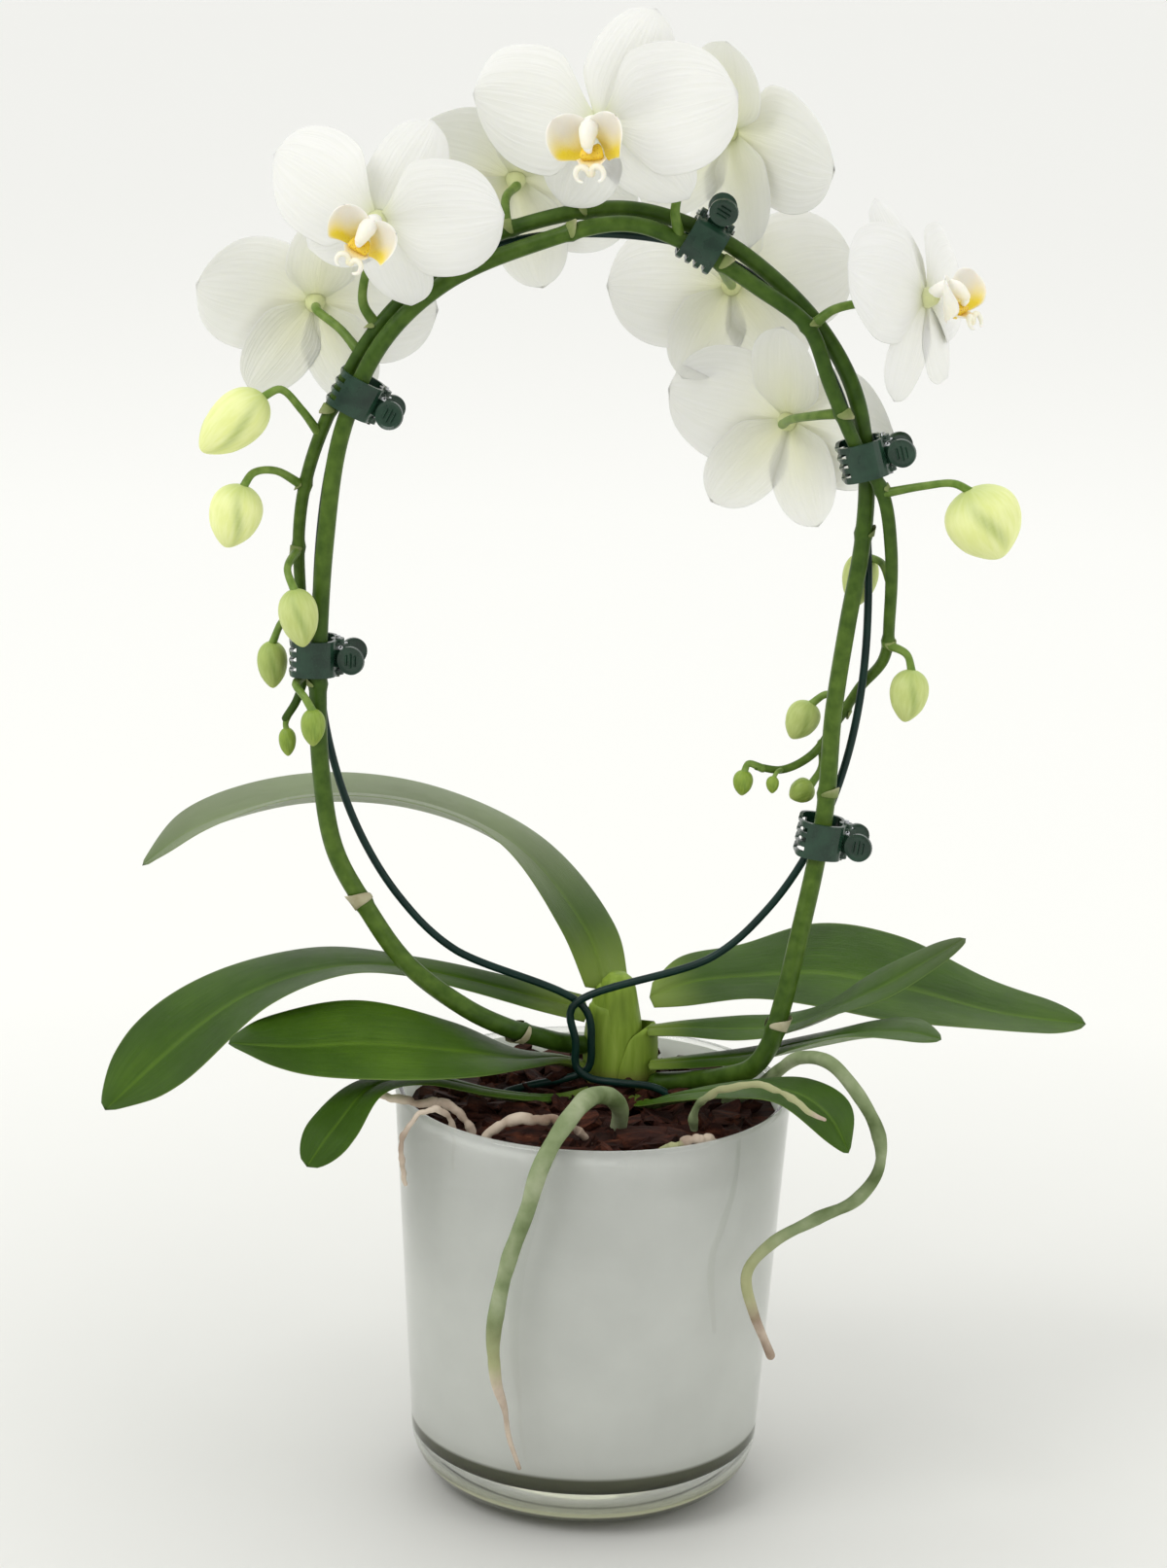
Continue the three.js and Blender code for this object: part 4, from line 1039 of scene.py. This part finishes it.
# %% [markdown]
# ## Flowers
# A moth orchid's flower has two broad petals, three narrower sepals and a lip. Each of the
# five is a thin closed sheet: the formula gives its outline, its cupping, the furrow over
# its midrib and the ripple of its margin. The skin is white, lets some light through, and has
# fine veins that fan out from the base, so the veins are drawn in the sheet's own UV map.

# %% Petal skin
petal_skin = Finish(
    "petal_skin",
    Subsurface_Weight=0.35,
    Subsurface_Scale=1.0,
    Specular_IOR_Level=0.3,
    Sheen_Weight=0.1,
)
petal_skin.shader.inputs["Subsurface Radius"].default_value = (0.004, 0.004, 0.003)
turn, along, _ = petal_skin.split(petal_skin.uv)
across = (turn * (2 * math.pi)).math("COSINE")
fan = petal_skin.add("ShaderNodeCombineXYZ", None, across * 9.0, along * 1.4, 0.0).out()
veins = petal_skin.noise(1.6, 2.0, fan).rises(0.38, 0.66)
cloud = petal_skin.noise(34.0, 3.0)
heart, warm, _ = petal_skin.painted("zone")
white = petal_skin.mix(cloud, tone(231, 231, 226), tone(241, 241, 237))
white = petal_skin.mix((1.0 - veins) * 0.12, white, tone(214, 217, 204))
white = petal_skin.mix(warm * 0.75, white, tone(222, 222, 164))
petal_skin.color(petal_skin.mix(heart * 0.8, white, tone(206, 212, 140)))
petal_skin.rough(veins * 0.1 + cloud * 0.1 + 0.42)
petal_skin.bump(veins + 0.6 * cloud, 0.0003, 0.3)

# %% Lip skin: white at the rims, yellow inside, with red-orange freckles
lip_skin = Finish("lip_skin", Subsurface_Weight=0.2, Specular_IOR_Level=0.4)
lip_skin.shader.inputs["Subsurface Radius"].default_value = (0.003, 0.002, 0.001)
yellow, orange, shade = lip_skin.painted("zone")
fleck = 1.0 - lip_skin.cells(1300.0).rises(0.16, 0.30)
grainy = lip_skin.noise(500.0, 2.0)
base = lip_skin.mix(grainy, tone(240, 238, 230), tone(250, 249, 243))
base = lip_skin.mix(shade * 0.6, base, tone(220, 212, 196))
base = lip_skin.mix(yellow, base, tone(246, 222, 62))
base = lip_skin.mix(orange * 0.55, base, tone(238, 176, 60))
freckled = (orange * 1.2 + yellow * 0.15).clamp() * fleck
lip_skin.color(lip_skin.mix(freckled * 0.8, base, tone(178, 84, 30)))
lip_skin.rough(grainy * 0.2 + 0.32)
lip_skin.bump(grainy, 0.0003, 0.4)

# %% A sheet with a petal's outline


def turned(points, axis, degrees):
    """Points turned about one of their own axes."""
    return points @ np.array(Matrix.Rotation(math.radians(degrees), 3, axis)).T


def ease(t, low, high):
    u = np.clip((t - low) / (high - low), 0, 1)
    return u * u * (3 - 2 * u)


def tepal(bm, put, angle, length, width, waist, back, curl, ripple, seed, forward):
    """An oval sheet drawn in at its base. forward moves it out of the flower's plane, since
    the petals lie over the sepals."""

    def place(turn, s):
        t = 0.5 - 0.5 * np.cos(math.pi * s)
        oval = np.sqrt(np.clip(1 - np.abs(2 * t - 1) ** 2.2, 0, 1))
        claw = 0.14 * np.sqrt(np.clip(1 - (1 - t / 0.03).clip(0) ** 2, 0, 1)) * (t < 0.5)
        half = 0.5 * width * np.maximum(oval * (waist + (1 - waist) * ease(t, 0, 0.35)), claw)
        x, side = np.cos(turn), np.sin(turn)
        z = 0.36 * side * np.sqrt(half / half.max())
        z = z - 0.09 * half * x**2 - curl * length * t**2 + forward * ease(t, 0, 0.3)
        z = z - 0.8 * np.exp(-((x / 0.12) ** 2)) * t * (1 - t) * 2
        wave = np.sin(5.5 * t + seed + 1.9 * np.sign(x)) + 0.5 * np.sin(11 * t + 2.3 * seed)
        z = z + ripple * half / 20 * x**2 * wave * t
        z = z + 0.5 * np.sin(3.1 * x + 4 * t + seed) * half / 20
        rim = 1 + 0.018 * np.sin(7 * t + 2 * seed + np.sign(x)) * t
        points = np.stack([x * half * rim, t * length * (1 - 0.02 * x**2), z], 1)
        return put(turned(turned(points, "X", -back), "Z", angle))

    def paint(turn, s):
        t = 0.5 - 0.5 * np.cos(math.pi * s)
        x = np.abs(np.cos(turn))
        heart = np.exp(-((t / 0.12) ** 2))
        behind = np.clip(-np.sin(turn) * 3, 0, 1)
        spread = 0.36 + 0.3 * behind * (width < 0.8 * length)
        warm = np.exp(-((t / spread) ** 2)) * (0.15 + 0.75 * behind) * (1 - 0.5 * x)
        return np.stack([heart, np.clip(warm, 0, 1), 0 * t], 1)

    bend_grid(bm, 40, 30, place, paint)


# %% The lip and the column


def lip(bm, put, size):
    """Two rounded side lobes, a pointed middle lobe with two curled tails, and the callus."""

    def lobe(mirror):
        def place(turn, s):
            t = 0.5 - 0.5 * np.cos(math.pi * s)
            oval = np.sqrt(np.clip(1 - np.abs(2 * t - 1) ** 2.3, 0, 1))
            half = 7.6 * np.maximum(oval * (0.45 + 0.55 * ease(t, 0, 0.5)), 0.2 * (t < 0.5))
            half = half * np.sqrt(np.clip(t / 0.02, 0, 1))
            x, side = np.cos(turn), np.sin(turn)
            z = 0.32 * side * np.sqrt(half / 7.6)
            z = z + 0.06 * (x * half) ** 2 + 2.4 * t**2 + 0.4 * np.sin(8 * t + 3 * x) * x**2
            local = np.stack([x * half, 18.0 * t, z], 1)
            local = turned(local, "Y", -36)
            local = turned(local, "Z", -27)
            local = turned(local, "X", 16)
            spot = local + np.array([3.0, -8.6, 7.0])
            return put(spot * np.array([mirror, 1, 1]) * size)

        def paint(turn, s):
            x, inner = np.cos(turn), np.clip(np.sin(turn) * 4, 0, 1)
            low = np.exp(-((s / 0.46) ** 4)) + ease(x, 0.0, 0.7) * np.exp(-((s / 0.62) ** 4))
            yellow = np.clip(low, 0, 1) * (0.12 + 0.88 * inner) * (1 - ease(np.abs(x), 0.88, 1))
            stripe = 0.5 + 0.5 * np.sin(15 * x)
            spots = inner * np.exp(-((s / 0.24) ** 2)) * stripe * 0.6
            return np.stack([yellow, spots, inner * ease(s, 0.3, 0.6) * (1 - x**4)], 1)

        bend_grid(bm, 32, 24, place, paint)

    def middle(turn, s):
        t = 0.5 - 0.5 * np.cos(math.pi * s)
        arrow = np.interp(t, [0, 0.05, 0.3, 0.5, 0.75, 0.93, 1], [0, 2.4, 3.4, 5.2, 3.4, 1.7, 0])
        arrow = arrow * (1 + 0.06 * np.sin(9 * t))
        x, side = np.cos(turn), np.sin(turn)
        z = 0.6 * side * np.sqrt(arrow / 5.6) + 0.05 * (x * arrow) ** 2 + 1.6 * t**2
        local = np.stack([x * arrow, -8.6 * t + 0.1 * np.abs(x * arrow), z], 1)
        return put((turned(local, "X", -62) + np.array([0, -6.2, 8.4])) * size)

    def middle_paint(turn, s):
        top = np.clip(np.sin(turn) * 4, 0, 1)
        rim = 1 - 0.75 * ease(np.abs(np.cos(turn)), 0.6, 0.95)
        yellow = np.exp(-((s / 0.62) ** 4)) * (0.3 + 0.7 * top) * rim
        return np.stack([yellow, top * np.exp(-((s / 0.45) ** 2)), 0 * s], 1)

    def callus(mirror):
        def place(turn, s):
            r = 2.2 * np.sqrt(np.clip(1 - (2 * s - 1) ** 2, 0, 1))
            x = mirror * 1.5 + r * np.cos(turn)
            y = -5.4 + 1.2 * r * np.sin(turn)
            z = 8.4 + 5.2 * s + 0.5 * np.cos(2 * turn) * r
            return put(np.stack([x, y, z], 1) * size)

        def paint(turn, s):
            return np.stack([0 * s + 1, 0.75 * s, 0 * s], 1)

        bend_grid(bm, 16, 10, place, paint)

    def tail(mirror):
        curl = np.linspace(0, 1, 26)
        a = 4.6 * curl
        r = 2.3 * (1 - 0.3 * curl)
        out = mirror * (0.4 + r * (1 - np.cos(a)) + 0.6 * curl)
        line = np.stack([out, -10.2 + r * np.sin(a) * 1.2, 15.6 + 1.6 * curl], 1)
        tube(bm, put(line * size), [1.1 * size, 0.95 * size, 0.5 * size], 8, pale)

    def pale(turn, s):
        return np.stack([0.25 * (1 - s), 0 * s, 0 * s], 1)

    for mirror in (1, -1):
        lobe(mirror)
    bend_grid(bm, 28, 22, middle, middle_paint)
    for part in (callus, tail):
        for mirror in (1, -1):
            part(mirror)


def column(bm, put, size):
    """The short white stub over the lip, with its anther cap at the end."""

    def pale(turn, s):
        return np.stack([0.18 * s**4, 0 * s, 0.3 * np.exp(-((s / 0.25) ** 2))], 1)

    def stub(points, count, radii, sides):
        line = smooth_line(points, count) / MM
        tube(bm, put(line * size), [r * size for r in radii], sides, pale)

    bend = [(0, 0, 0), (0, 2.0, 4.5), (0, 2.8, 8.6), (0, 1.4, 12.2), (0, -0.9, 14.2)]
    stub(bend, 30, [2.0, 2.4, 2.7, 3.0, 2.1], 20)
    stub([(0, -1.0, 13.8), (0, -2.2, 14.2), (0, -3.4, 13.6)], 8, [1.4, 1.6, 1.1], 14)


# %% The eight flowers


# The petals' and the lower sepals' headings from the top, in degrees, the sizes of a petal
# and a sepal over the flower's half width, and the half width that the lip is drawn for.
PETAL_AT, SEPAL_AT = 84, 146
PETAL_LONG, PETAL_WIDE, SEPAL_LONG, SEPAL_WIDE = 1.04, 1.0, 0.92, 0.6
LIP_REACH = 42


def flower(number, at, faces, top, reach, **odd):
    out = unit(faces)
    side = unit(np.cross(top, out))
    axes = np.stack([side, np.cross(out, side), out], 0)

    def put(points):
        return (np.array(at) + points @ axes) * MM

    seeds = rng.uniform(0, 6, 5)
    petal = dict(length=PETAL_LONG * reach, width=PETAL_WIDE * reach, waist=0.3, curl=0.08)
    petal.update(back=8, ripple=1.3, forward=1.6)
    sepal = dict(length=SEPAL_LONG * reach, width=SEPAL_WIDE * reach, waist=0.5, curl=0.08)
    sepal.update(back=odd.get("sepal_back", 12) + 2, ripple=0.7, forward=-1.2)
    dorsal = {**sepal, "back": odd.get("dorsal_back", 14)}
    bm = bmesh.new()
    for seed, angle, kind in zip(
        seeds,
        (
            odd.get("dorsal", 0),
            SEPAL_AT,
            -SEPAL_AT,
            odd.get("right_petal", PETAL_AT),
            -odd.get("left_petal", PETAL_AT),
        ),
        (dorsal, sepal, sepal, petal, petal),
    ):
        tepal(bm, put, angle, seed=seed, **kind)

    def green_heart(turn, s):
        return np.stack([0 * s + 1, 0 * s, 0 * s], 1)

    throat = np.array([[0, 0, z] for z in np.linspace(-4.6, 1.6, 12)])
    tube(bm, put(throat), [1.9, 3.2, 3.7, 3.0], 20, green_heart)
    node = f"flower_{number}"
    finish_piece(f"tepals_{number}", bm, petal_skin, replaces=[f"{node}_petals"])
    bm = bmesh.new()
    size = reach / LIP_REACH
    lip(bm, put, size)
    column(bm, put, size)
    finish_piece(f"lip_{number}", bm, lip_skin, replaces=[f"{node}_lip"])


for number, data in enumerate(FLOWERS, 1):
    flower(number, **data)

# %% [markdown]
# ## Claw clips
# Five small sprung clips hold the spikes to the wire. Each is two moulded jaws that turn on a
# steel pin: a hooked comb, a short arm and a round finger pad with raised ribs. The front jaw
# rides on its own body, so it swings with the hinge. The comb is a grid bent along the hook's
# line with the slots between its teeth taken out, then given its thickness.

# %% Clip finishes
clip_green = Finish("clip_green", Coat_Weight=0.2, Coat_Roughness=0.08, Specular_IOR_Level=0.3)
haze = clip_green.noise(150.0, 3.0)
clip_green.color(clip_green.ramp(haze, (0.3, tone(14, 40, 28)), (0.7, tone(34, 66, 48))))
clip_green.rough(haze * 0.2 + 0.18)
clip_green.bump(clip_green.noise(900.0, 2.0), 0.0001, 0.3)

spring_steel = Finish("spring_steel", Metallic=1.0)
draw = spring_steel.noise(300.0, 2.0)
spring_steel.color(
    spring_steel.ramp(draw, (0.3, tone(150, 152, 156)), (0.7, tone(214, 216, 220)))
)
spring_steel.rough(draw * 0.2 + 0.18)
spring_steel.bump(draw, 0.0001, 0.2)

# %% One jaw, in the clip's own axes: X along the pin, Y to the back, Z towards the teeth
CLIPS = [
    ((-86.5, 1.8, 390), -63),
    ((-99.8, 1.8, 299), -90),
    ((29, 1.8, 445), -150),
    ((86.2, 1.8, 373), -105),
    ((77.2, 4.2, 238.5), -82),
]
CLIP_WIDTH, CLIP_WALL, HINGE, PAD = 12.6, 1.3, -7.6, 4.9
HOOK = [
    (0, -2.3, -7.85), (0, -6.9, -6.3), (0, -9.15, -2.05), (0, -9.15, 4.7), (0, -7.15, 7.75),
    (0, -0.6, 9.1),
]
TOOTH_STEP, SLOT = 3.3, 0.85  # from slot to slot, and half a slot's width
TEETH_START, POINT_START = 0.68, 0.74  # shares of the hook's line


def hook(bm):
    """The comb: narrow strips with three slots between its four pointed teeth."""
    bmesh.ops.create_grid(bm, x_segments=30, y_segments=24, size=0.5)
    line = smooth_line(HOOK, 61) / MM
    gone = []
    for face in bm.faces:
        middle = face.calc_center_median()
        slot = min(abs(CLIP_WIDTH * middle.x - k * TOOTH_STEP) for k in (-1, 0, 1))
        if middle.y + 0.5 > TEETH_START and slot < SLOT:
            gone.append(face)
    bmesh.ops.delete(bm, geom=gone, context="FACES")
    for v in list(bm.verts):
        share, x = v.co.y + 0.5, CLIP_WIDTH * v.co.x
        tooth = math.copysign(1.6 * TOOTH_STEP if abs(x) > TOOTH_STEP else 0.5 * TOOTH_STEP, x)
        x = tooth + (x - tooth) * (1 - 0.72 * max(0, (share - POINT_START) / (1 - POINT_START)))
        spot = line[min(int(round(share * 60)), 60)]
        v.co = (x, spot[1], spot[2])
    bmesh.ops.recalc_face_normals(bm, faces=bm.faces)
    bmesh.ops.solidify(bm, geom=bm.faces[:], thickness=CLIP_WALL)


def whole(verts):
    """Every vertex that hangs together with the given ones."""
    found, waiting = set(), [v for v in verts if v.is_valid]
    while waiting:
        v = waiting.pop()
        if v not in found:
            found.add(v)
            waiting.extend(e.other_vert(v) for e in v.link_edges)
    return list(found)


def block(bm, size, matrix):
    made = bmesh.ops.create_cube(bm, size=1.0)["verts"]
    edges = list({e for v in made for e in v.link_edges})
    bmesh.ops.transform(bm, matrix=Matrix.Diagonal((*size, 1)), verts=made)
    out = bmesh.ops.bevel(
        bm, geom=edges, offset=0.3, segments=2, profile=0.5, affect="EDGES", material=-1
    )
    verts = list({v for f in out["faces"] for v in f.verts})
    bmesh.ops.transform(bm, matrix=matrix, verts=verts)


def disc(bm, radius, thickness, matrix, dish=0.0, segments=32):
    """A round plate with a soft rim; dish sinks the middle of both faces."""
    made = bmesh.ops.create_cone(
        bm, cap_ends=True, segments=segments, radius1=radius, radius2=radius, depth=thickness
    )["verts"]
    caps = [f for f in {f for v in made for f in v.link_faces} if len(f.verts) > 4]
    bmesh.ops.inset_region(bm, faces=caps, thickness=0.22 * radius, depth=0.0)
    for f in caps:
        bmesh.ops.translate(bm, vec=-f.normal * dish, verts=f.verts)
    everything = whole(made)
    rims = [e for e in {e for v in made for e in v.link_edges} if e.calc_face_angle(0) > 1]
    bmesh.ops.bevel(
        bm, geom=rims, offset=0.3, segments=2, profile=0.5, affect="EDGES", material=-1
    )
    bmesh.ops.transform(bm, matrix=matrix, verts=whole(everything))


def jaw(bm, ear):
    hook(bm)
    pad = Matrix.Translation((0, -7.2, -12.6)) @ Matrix.Rotation(math.radians(-22), 4, "X")
    disc(bm, PAD, CLIP_WALL, pad @ Matrix.Rotation(math.pi / 2, 4, "X"), dish=0.3)
    for k in (-1, 0, 1):
        rib = pad @ Matrix.Translation((0, -0.65, 1.6 * k))
        block(bm, (5.2 - 1.3 * abs(k), 0.8, 0.65), rib)
    arm = Matrix.Translation((0, -5.05, -9.4)) @ Matrix.Rotation(-0.58, 4, "X")
    block(bm, (6.0, 1.5, 5.4), arm)
    quarter = Matrix.Rotation(math.pi / 2, 4, "Y")
    for x in (ear, -ear):
        disc(bm, 2.3, 1.0, Matrix.Translation((x, 0, HINGE)) @ quarter)
        block(bm, (1.0, 3.4, 1.6), Matrix.Translation((x, -2.1, HINGE - 0.1)))


def spring(bm, place):
    """The pin and the torsion spring wound on it, with one leg under each pad."""
    pin = Matrix.Translation((0, 0, HINGE)) @ Matrix.Rotation(math.pi / 2, 4, "Y")
    disc(bm, 0.9, 14.4, pin, segments=20)
    bmesh.ops.transform(bm, matrix=Matrix.Diagonal((MM, MM, MM, 1)), verts=bm.verts)
    turns = np.linspace(0, 1, 180)
    a = 2 * math.pi * 7.25 * turns
    wound = np.stack([-3.3 + 6.6 * turns, 1.5 * np.cos(a), HINGE + 1.5 * np.sin(a)], 1)
    leg = np.linspace(1, 0, 12)[:, None]
    first = wound[0] + leg * np.array([-0.3, -4.6, -4.4])
    last = wound[-1] + leg[::-1] * np.array([0.3, 4.6, -4.4])
    tube(bm, np.vstack([first[:-1], wound, last[1:]]) * MM, [0.4, 0.4], 8)
    bmesh.ops.transform(bm, matrix=place, verts=bm.verts)


def clip(number, at, teeth):
    place = Matrix.Translation(Vector(at) * MM) @ Matrix.Rotation(math.radians(teeth), 4, "Y")
    small = place @ Matrix.Diagonal((MM, MM, MM, 1))
    for side, ear, body, turn in (
        ("front", 4.7, f"clip_{number}_jaw", 0.0),
        ("back", 5.8, BODY, math.pi),
    ):
        bm = bmesh.new()
        jaw(bm, ear)
        bmesh.ops.transform(bm, matrix=small @ Matrix.Rotation(turn, 4, "Z"), verts=bm.verts)
        node = f"clip_{number}_{side}_jaw"
        name = f"{side}_jaw_{number}"
        finish_piece(name, bm, clip_green, body, [node], smooth=False)
    bm = bmesh.new()
    spring(bm, place)
    node = f"clip_{number}_spring_pin"
    finish_piece(f"spring_{number}", bm, spring_steel, BODY, [node])


for number, (at, teeth) in enumerate(CLIPS, 1):
    clip(number, at, teeth)

# %% [markdown]
# ## Stage, light and camera
# The plant stands on a pale floor, painted darker round the pot as a soft shadow, in plain soft
# studio light: a large soft light from above the front left, a broad fill from the right, a weak
# one from behind, and a pale world.

# %% Floor
FLOOR_SIZE, FLOOR_DROP = 14.0, 0.0004

bm = bmesh.new()
bmesh.ops.create_grid(bm, x_segments=2, y_segments=2, size=FLOOR_SIZE)
floor_mesh = bpy.data.meshes.new("floor")
bm.to_mesh(floor_mesh)
bm.free()
floor = bpy.data.objects.new("floor", floor_mesh)
floor.location.z = -FLOOR_DROP
bpy.context.scene.collection.objects.link(floor)
paper = Finish("floor_paper")
x, y, _ = paper.split(paper.object)
distance_for_painted_shadow = (x * x + y * y).math("SQRT") + (paper.noise(3.0) - 0.5) * 0.12
# Painted shadow: the floor is darker near the pot and lightens outwards, for the soft shadow the
# plant casts; the noise frays its edge.
paper.color(
    paper.ramp(
        distance_for_painted_shadow * 0.5,
        (0.04, tone(216, 216, 212)),
        (0.15, tone(228, 228, 224)),
        (0.30, tone(242, 242, 238)),
        (0.9, tone(251, 251, 248)),
    )
)
paper.rough(paper.noise(50.0) * 0.1 + 0.6)
floor_mesh.materials.append(paper.material)
floor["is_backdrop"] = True

# %% Light
world = bpy.data.worlds.new("studio")
bpy.context.scene.world = world
world.use_nodes = True
sky = world.node_tree
sky.nodes["Background"].inputs["Color"].default_value = (1.0, 1.0, 0.985, 1)
heading = sky.nodes.new("ShaderNodeTexCoord")
parts = sky.nodes.new("ShaderNodeSeparateXYZ")
share = sky.nodes.new("ShaderNodeMapRange")
share.interpolation_type = "SMOOTHSTEP"
brightness = {"From Min": -0.7, "From Max": 0.3, "To Min": 0.62, "To Max": 1.06}
for socket, value in brightness.items():
    share.inputs[socket].default_value = value
sky.links.new(heading.outputs["Generated"], parts.inputs[0])
sky.links.new(parts.outputs["Y"], share.inputs["Value"])
sky.links.new(share.outputs["Result"], sky.nodes["Background"].inputs["Strength"])


def soft_light(name, place, target, size, power):
    data = bpy.data.lights.new(name, "AREA")
    data.size, data.energy = size, power
    lamp = bpy.data.objects.new(name, data)
    lamp.location = place
    lamp.rotation_euler = (Vector(target) - Vector(place)).to_track_quat("-Z", "Y").to_euler()
    bpy.context.scene.collection.objects.link(lamp)


soft_light("key", (-1.1, -1.0, 1.7), (0, 0, 0.3), 1.0, 14)
soft_light("fill", (1.6, -0.9, 0.9), (0, 0, 0.3), 1.2, 5)
soft_light("rim", (0.2, 1.4, 2.0), (0, 0, 0.35), 1.2, 4)

# %% Camera
CAMERA_PLACE = (-6.29, -1401.7, 622.3)
PITCH, ROLL = 14.638, 1.572
SENSOR, LENS = 36, 95.903286
camera_data = bpy.data.cameras.new("camera")
camera_data.sensor_fit = "AUTO"
camera_data.sensor_width = SENSOR
camera_data.lens = LENS
camera_data.clip_start, camera_data.clip_end = 0.05, 40
camera = bpy.data.objects.new("camera", camera_data)
aim = Matrix.Rotation(math.radians(90 - PITCH), 4, "X")
aim = aim @ Matrix.Rotation(math.radians(ROLL), 4, "Z")
camera.matrix_world = Matrix.Translation(Vector(CAMERA_PLACE) * MM) @ aim
bpy.context.scene.collection.objects.link(camera)
bpy.context.scene.camera = camera
bpy.context.scene.view_settings.view_transform = "Standard"

# %% Sizes and the end
low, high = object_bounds()
print("visual box", low, high)
